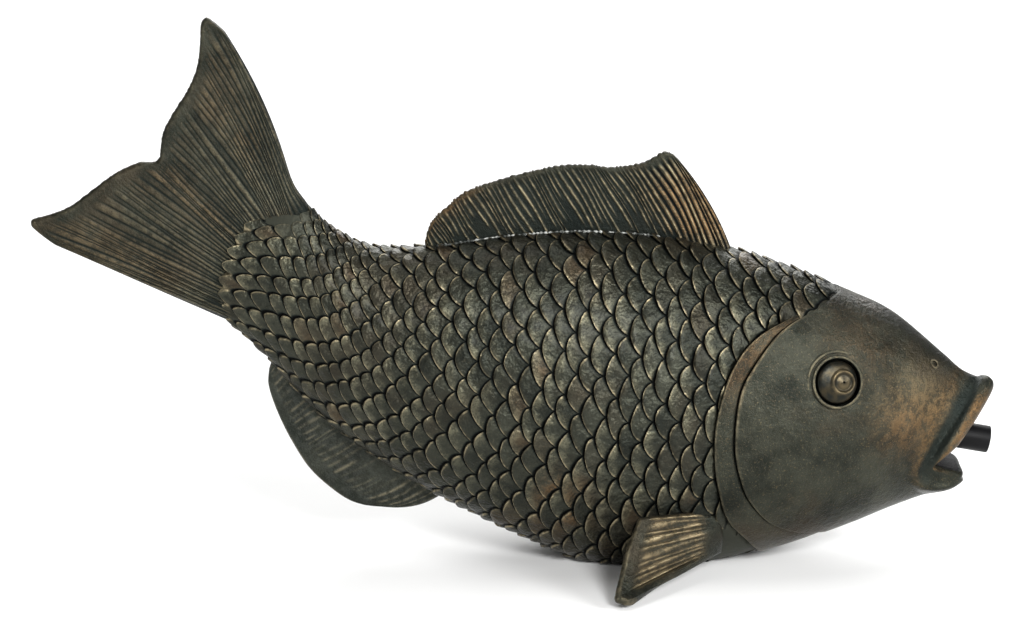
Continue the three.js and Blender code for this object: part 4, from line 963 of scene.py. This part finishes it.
# keel fin: an even pale tone with a faint painted highlight on the crests
putFin("anal_sail", finSheet(analRoot, inPlane(anal["edge"]), anal, 34), anal, "anal_fin",
       lambda r, a, crest: 0.22 + 0.1 * crest, finish=keelFinish)
for sideName, mirror in (("right", 1), ("left", -1)):
    paddle = finSheet(np.array(pectoral["root3"]), np.array(pectoral["edge3"]), pectoral, 44, 12, mirror)
    putFin(sideName + "_pectoral_paddle", paddle, pectoral, sideName + "_pectoral_fin",
           # front fins: pale paint and a painted highlight on the crests where the rays show, copper wear on
           # them
           lambda r, a, crest: (0.2 + 0.65 * crest) * pectoralRayed(r, a),
           lambda r, a, crest: (0.1 + 0.25 * crest) * pectoralRayed(r, a))


# glue line with pale crumbs along the foot of the dorsal fin

glue = {"radius": 0.75, "least": 0.15, "beads": 48, "perBead": 8, "sides": 10, "apart": 2.9, "out": 1.0,
        "behind": 0.008, "reach": 0.72, "taper": 0.004,
        "grime": (0.022, 0.026, 0.022), "pale": (0.50, 0.51, 0.48)}


def glueFinish():
    # pale crumbs in dark grime
    material, wire, shader, place = newFinish("paleGlue")
    cloud = wire.noise(place, 380, 4)
    colour = cloud.step(0.46, 0.66).between(glue["grime"], glue["pale"])
    bump = cloud.bump(0.6, 0.0004)
    feed(shader, Base_Color=colour, Roughness=0.5 + 0.2 * cloud, Normal=bump)
    return material


def glueLine():
    # a tube along each side of the fin's foot, its radius the sine of the bead count times a random size
    s = np.linspace(0, 1, glue["beads"] * glue["perBead"])
    t = dorsal["to"] - glue["behind"] - glue["reach"] * (dorsal["to"] - dorsal["from"]) * s
    half = alongSpline(bodyLines, t)[:, 4]
    around = np.arange(glue["sides"])[:, None] * 2 * np.pi / glue["sides"]
    bead = s * glue["beads"] + 0.25 * np.sin(40 * s)
    closing = np.sqrt(np.clip(np.minimum(s, 1 - s) / glue["taper"], 0, 1))
    parts = []
    for side in (1, -1):
        path = bodyAt(t, side * np.arcsin(glue["apart"] / half), glue["out"])
        tangent = unit(np.gradient(path, axis=0))
        up = unit(np.array([0, 0, 1.0]) - tangent * tangent[:, 2:3])
        aside = np.cross(tangent, up)
        size = rng.uniform(0.3, 1.0, glue["beads"] + 2)[bead.astype(int) + 1]
        swell = glue["radius"] * (glue["least"] + (1 - glue["least"]) * size * np.abs(np.sin(np.pi * bead)))
        ring = np.cos(around) * up[:, None] + np.sin(around) * aside[:, None]
        parts.append(path[:, None] + (swell * closing)[:, None, None] * ring)
    count = len(s) * glue["sides"]
    faces = [gridQuads(len(s), glue["sides"], k * count, False, True) for k in (0, 1)]
    putMesh("dorsal_glue_line", joined(parts), faces, {}, glueFinish(), "fish", crease=80)


glueLine()


# spout

def plasticFinish(name, colour, rough):
    # a plain colour with a lighter haze and fine grit
    material, wire, shader, place = newFinish(name)
    grit = wire.noise(place, 2400, 3)
    haze = wire.noise(place, 90, 4).step(0.35, 0.7)
    lighter = tuple(min(1, c * 1.9 + 0.002) for c in colour)
    tone = (haze * 0.6).between(colour, lighter)
    bump = grit.bump(0.25, 0.00012)
    feed(shader, Base_Color=tone, Roughness=rough + 0.15 * (haze - 0.5), Normal=bump, Specular_IOR_Level=0.13)
    return material


spoutFinish = plasticFinish("blackPlastic", (0.002, 0.002, 0.0023), 0.5)


def spoutTube():
    # the wall's section, with rounded ends, turned about the jet's line
    arc = np.linspace(0, np.pi / 2, 6)
    lip = spout["lip"]
    out, bore, long = spout["outer"], spout["bore"], spout["length"]
    radius = np.concatenate([out - lip + lip * np.sin(arc[::-1]), bore + lip - lip * np.sin(arc),
                             bore + lip - lip * np.sin(arc[::-1]), out - lip + lip * np.sin(arc)])
    ahead = np.concatenate([-lip + lip * np.cos(arc[::-1]), -lip + lip * np.cos(arc),
                            lip - long - lip * np.cos(arc[::-1]), lip - long - lip * np.cos(arc)])
    points = turned(jetTip, jetForward, jetUp, acrossFish, radius, ahead, spout["turns"])
    faces = [gridQuads(len(radius), spout["turns"], 0, True, True)]
    putMesh("spout_pipe", points, faces, {}, spoutFinish, "spout", ("spout_tube",),
            crease=35)


spoutTube()


# pieces that keep their solids

steel = {"dark": (0.46, 0.47, 0.48), "light": (0.66, 0.67, 0.68), "grain": 900, "stretch": (1, 1, 14)}


def steelFinish():
    # brushed round the upright screws
    material, wire, shader, place = newFinish("screwSteel")
    stretch = wire.node("ShaderNodeMapping", {}, {"Vector": place, "Scale": steel["stretch"]}, "Vector")
    brush = wire.noise(stretch, steel["grain"], 3)
    colour = brush.step(0.3, 0.7).between(steel["dark"], steel["light"])
    bump = brush.bump(0.2, 0.0001)
    feed(shader, Base_Color=colour, Roughness=0.25 + 0.2 * brush, Normal=bump, Metallic=1.0)
    return material


kept = {
    "base_plate": spoutFinish,
    "inlet_fitting": plasticFinish("greyPlastic", (0.075, 0.08, 0.085), 0.42),
    "throat_grommet": plasticFinish("blackRubber", (0.018, 0.018, 0.018), 0.72),
    "feed_hose": plasticFinish("milkyHose", (0.42, 0.47, 0.45), 0.3),
    "hose_clip": steelFinish(),
}
kept.update(inlet_nut=kept["inlet_fitting"], inlet_seal=kept["throat_grommet"], clip_screw=kept["hose_clip"],
            **{f"base_screw_{k}": kept["hose_clip"] for k in (1, 2, 3, 4)})
for nodeName, finish in kept.items():
    mesh = nodes[nodeName].data
    mesh.materials.clear()
    mesh.materials.append(finish)
print("finished", len(kept), "solids that stay")


# floor, light and camera

studio = {   # metres and watts, the lens in millimetres
    "floor": (0.92, 0.92, 0.915), "floorReach": 6.0, "sky": 0.1,
    "camera": {"target": (-0.0013, 0, 0.0971), "distance": 1.3, "rise": 15.0, "lens": 118.8,
               "sensor": 36},
    "lamps": {   # place, size, watts
        "front": ((0.45, -1.1, 0.68), 0.36, 17.0),
        "right": ((1.05, -0.5, 0.55), 0.4, 9.0),
        "top": ((-0.1, 0.2, 1.3), 0.8, 8.0),
        "fill": ((-0.9, -0.9, 0.5), 0.8, 3.2),
        "back": ((0.2, 1.3, 1.0), 1.2, 24.0),
    },
}


def makeFloor():
    material, wire, shader, place = newFinish("paleFloor")
    grain = wire.noise(place, 40, 3)
    tone = grain.between(studio["floor"], tuple(c * 0.985 for c in studio["floor"]))
    feed(shader, Base_Color=tone, Roughness=0.8 + 0.1 * grain)
    mesh = bpy.data.meshes.new("pale_floor")
    reach = studio["floorReach"]
    corners = [(-reach, -reach, 0), (reach, -reach, 0), (reach, reach, 0), (-reach, reach, 0)]
    mesh.from_pydata(corners, [], [(0, 1, 2, 3)])
    mesh.materials.append(material)
    floor = bpy.data.objects.new("pale_floor", mesh)
    bpy.context.scene.collection.objects.link(floor)


def aimed(data, place, target):
    # puts a lamp or camera at the place, turned to look at the target
    thing = bpy.data.objects.new(data.name, data)
    bpy.context.scene.collection.objects.link(thing)
    back = unit(np.array(place, float) - np.array(target, float))
    rise = math.asin(back[2])
    thing.location = place
    thing.rotation_euler = (math.pi / 2 - rise, 0, math.atan2(back[0], -back[1]))
    return thing


makeFloor()
for lampName, (place, size, watts) in studio["lamps"].items():
    lamp = bpy.data.lights.new(lampName, "AREA")
    lamp.size, lamp.energy = size, watts
    aimed(lamp, place, studio["camera"]["target"])
world = bpy.data.worlds.new("softRoom")
world.use_nodes = True
world.node_tree.nodes["Background"].inputs["Color"].default_value = (1, 1, 1, 1)
world.node_tree.nodes["Background"].inputs["Strength"].default_value = studio["sky"]
bpy.context.scene.world = world
bpy.context.scene.view_settings.view_transform = "Standard"

view = studio["camera"]
rise = math.radians(view["rise"])
eyePoint = np.array(view["target"]) + view["distance"] * np.array([0, -math.cos(rise), math.sin(rise)])
camera = bpy.data.cameras.new("photoView")
camera.lens, camera.sensor_width = view["lens"], view["sensor"]
bpy.context.scene.camera = aimed(camera, tuple(eyePoint), view["target"])
print("floor, light and camera set")
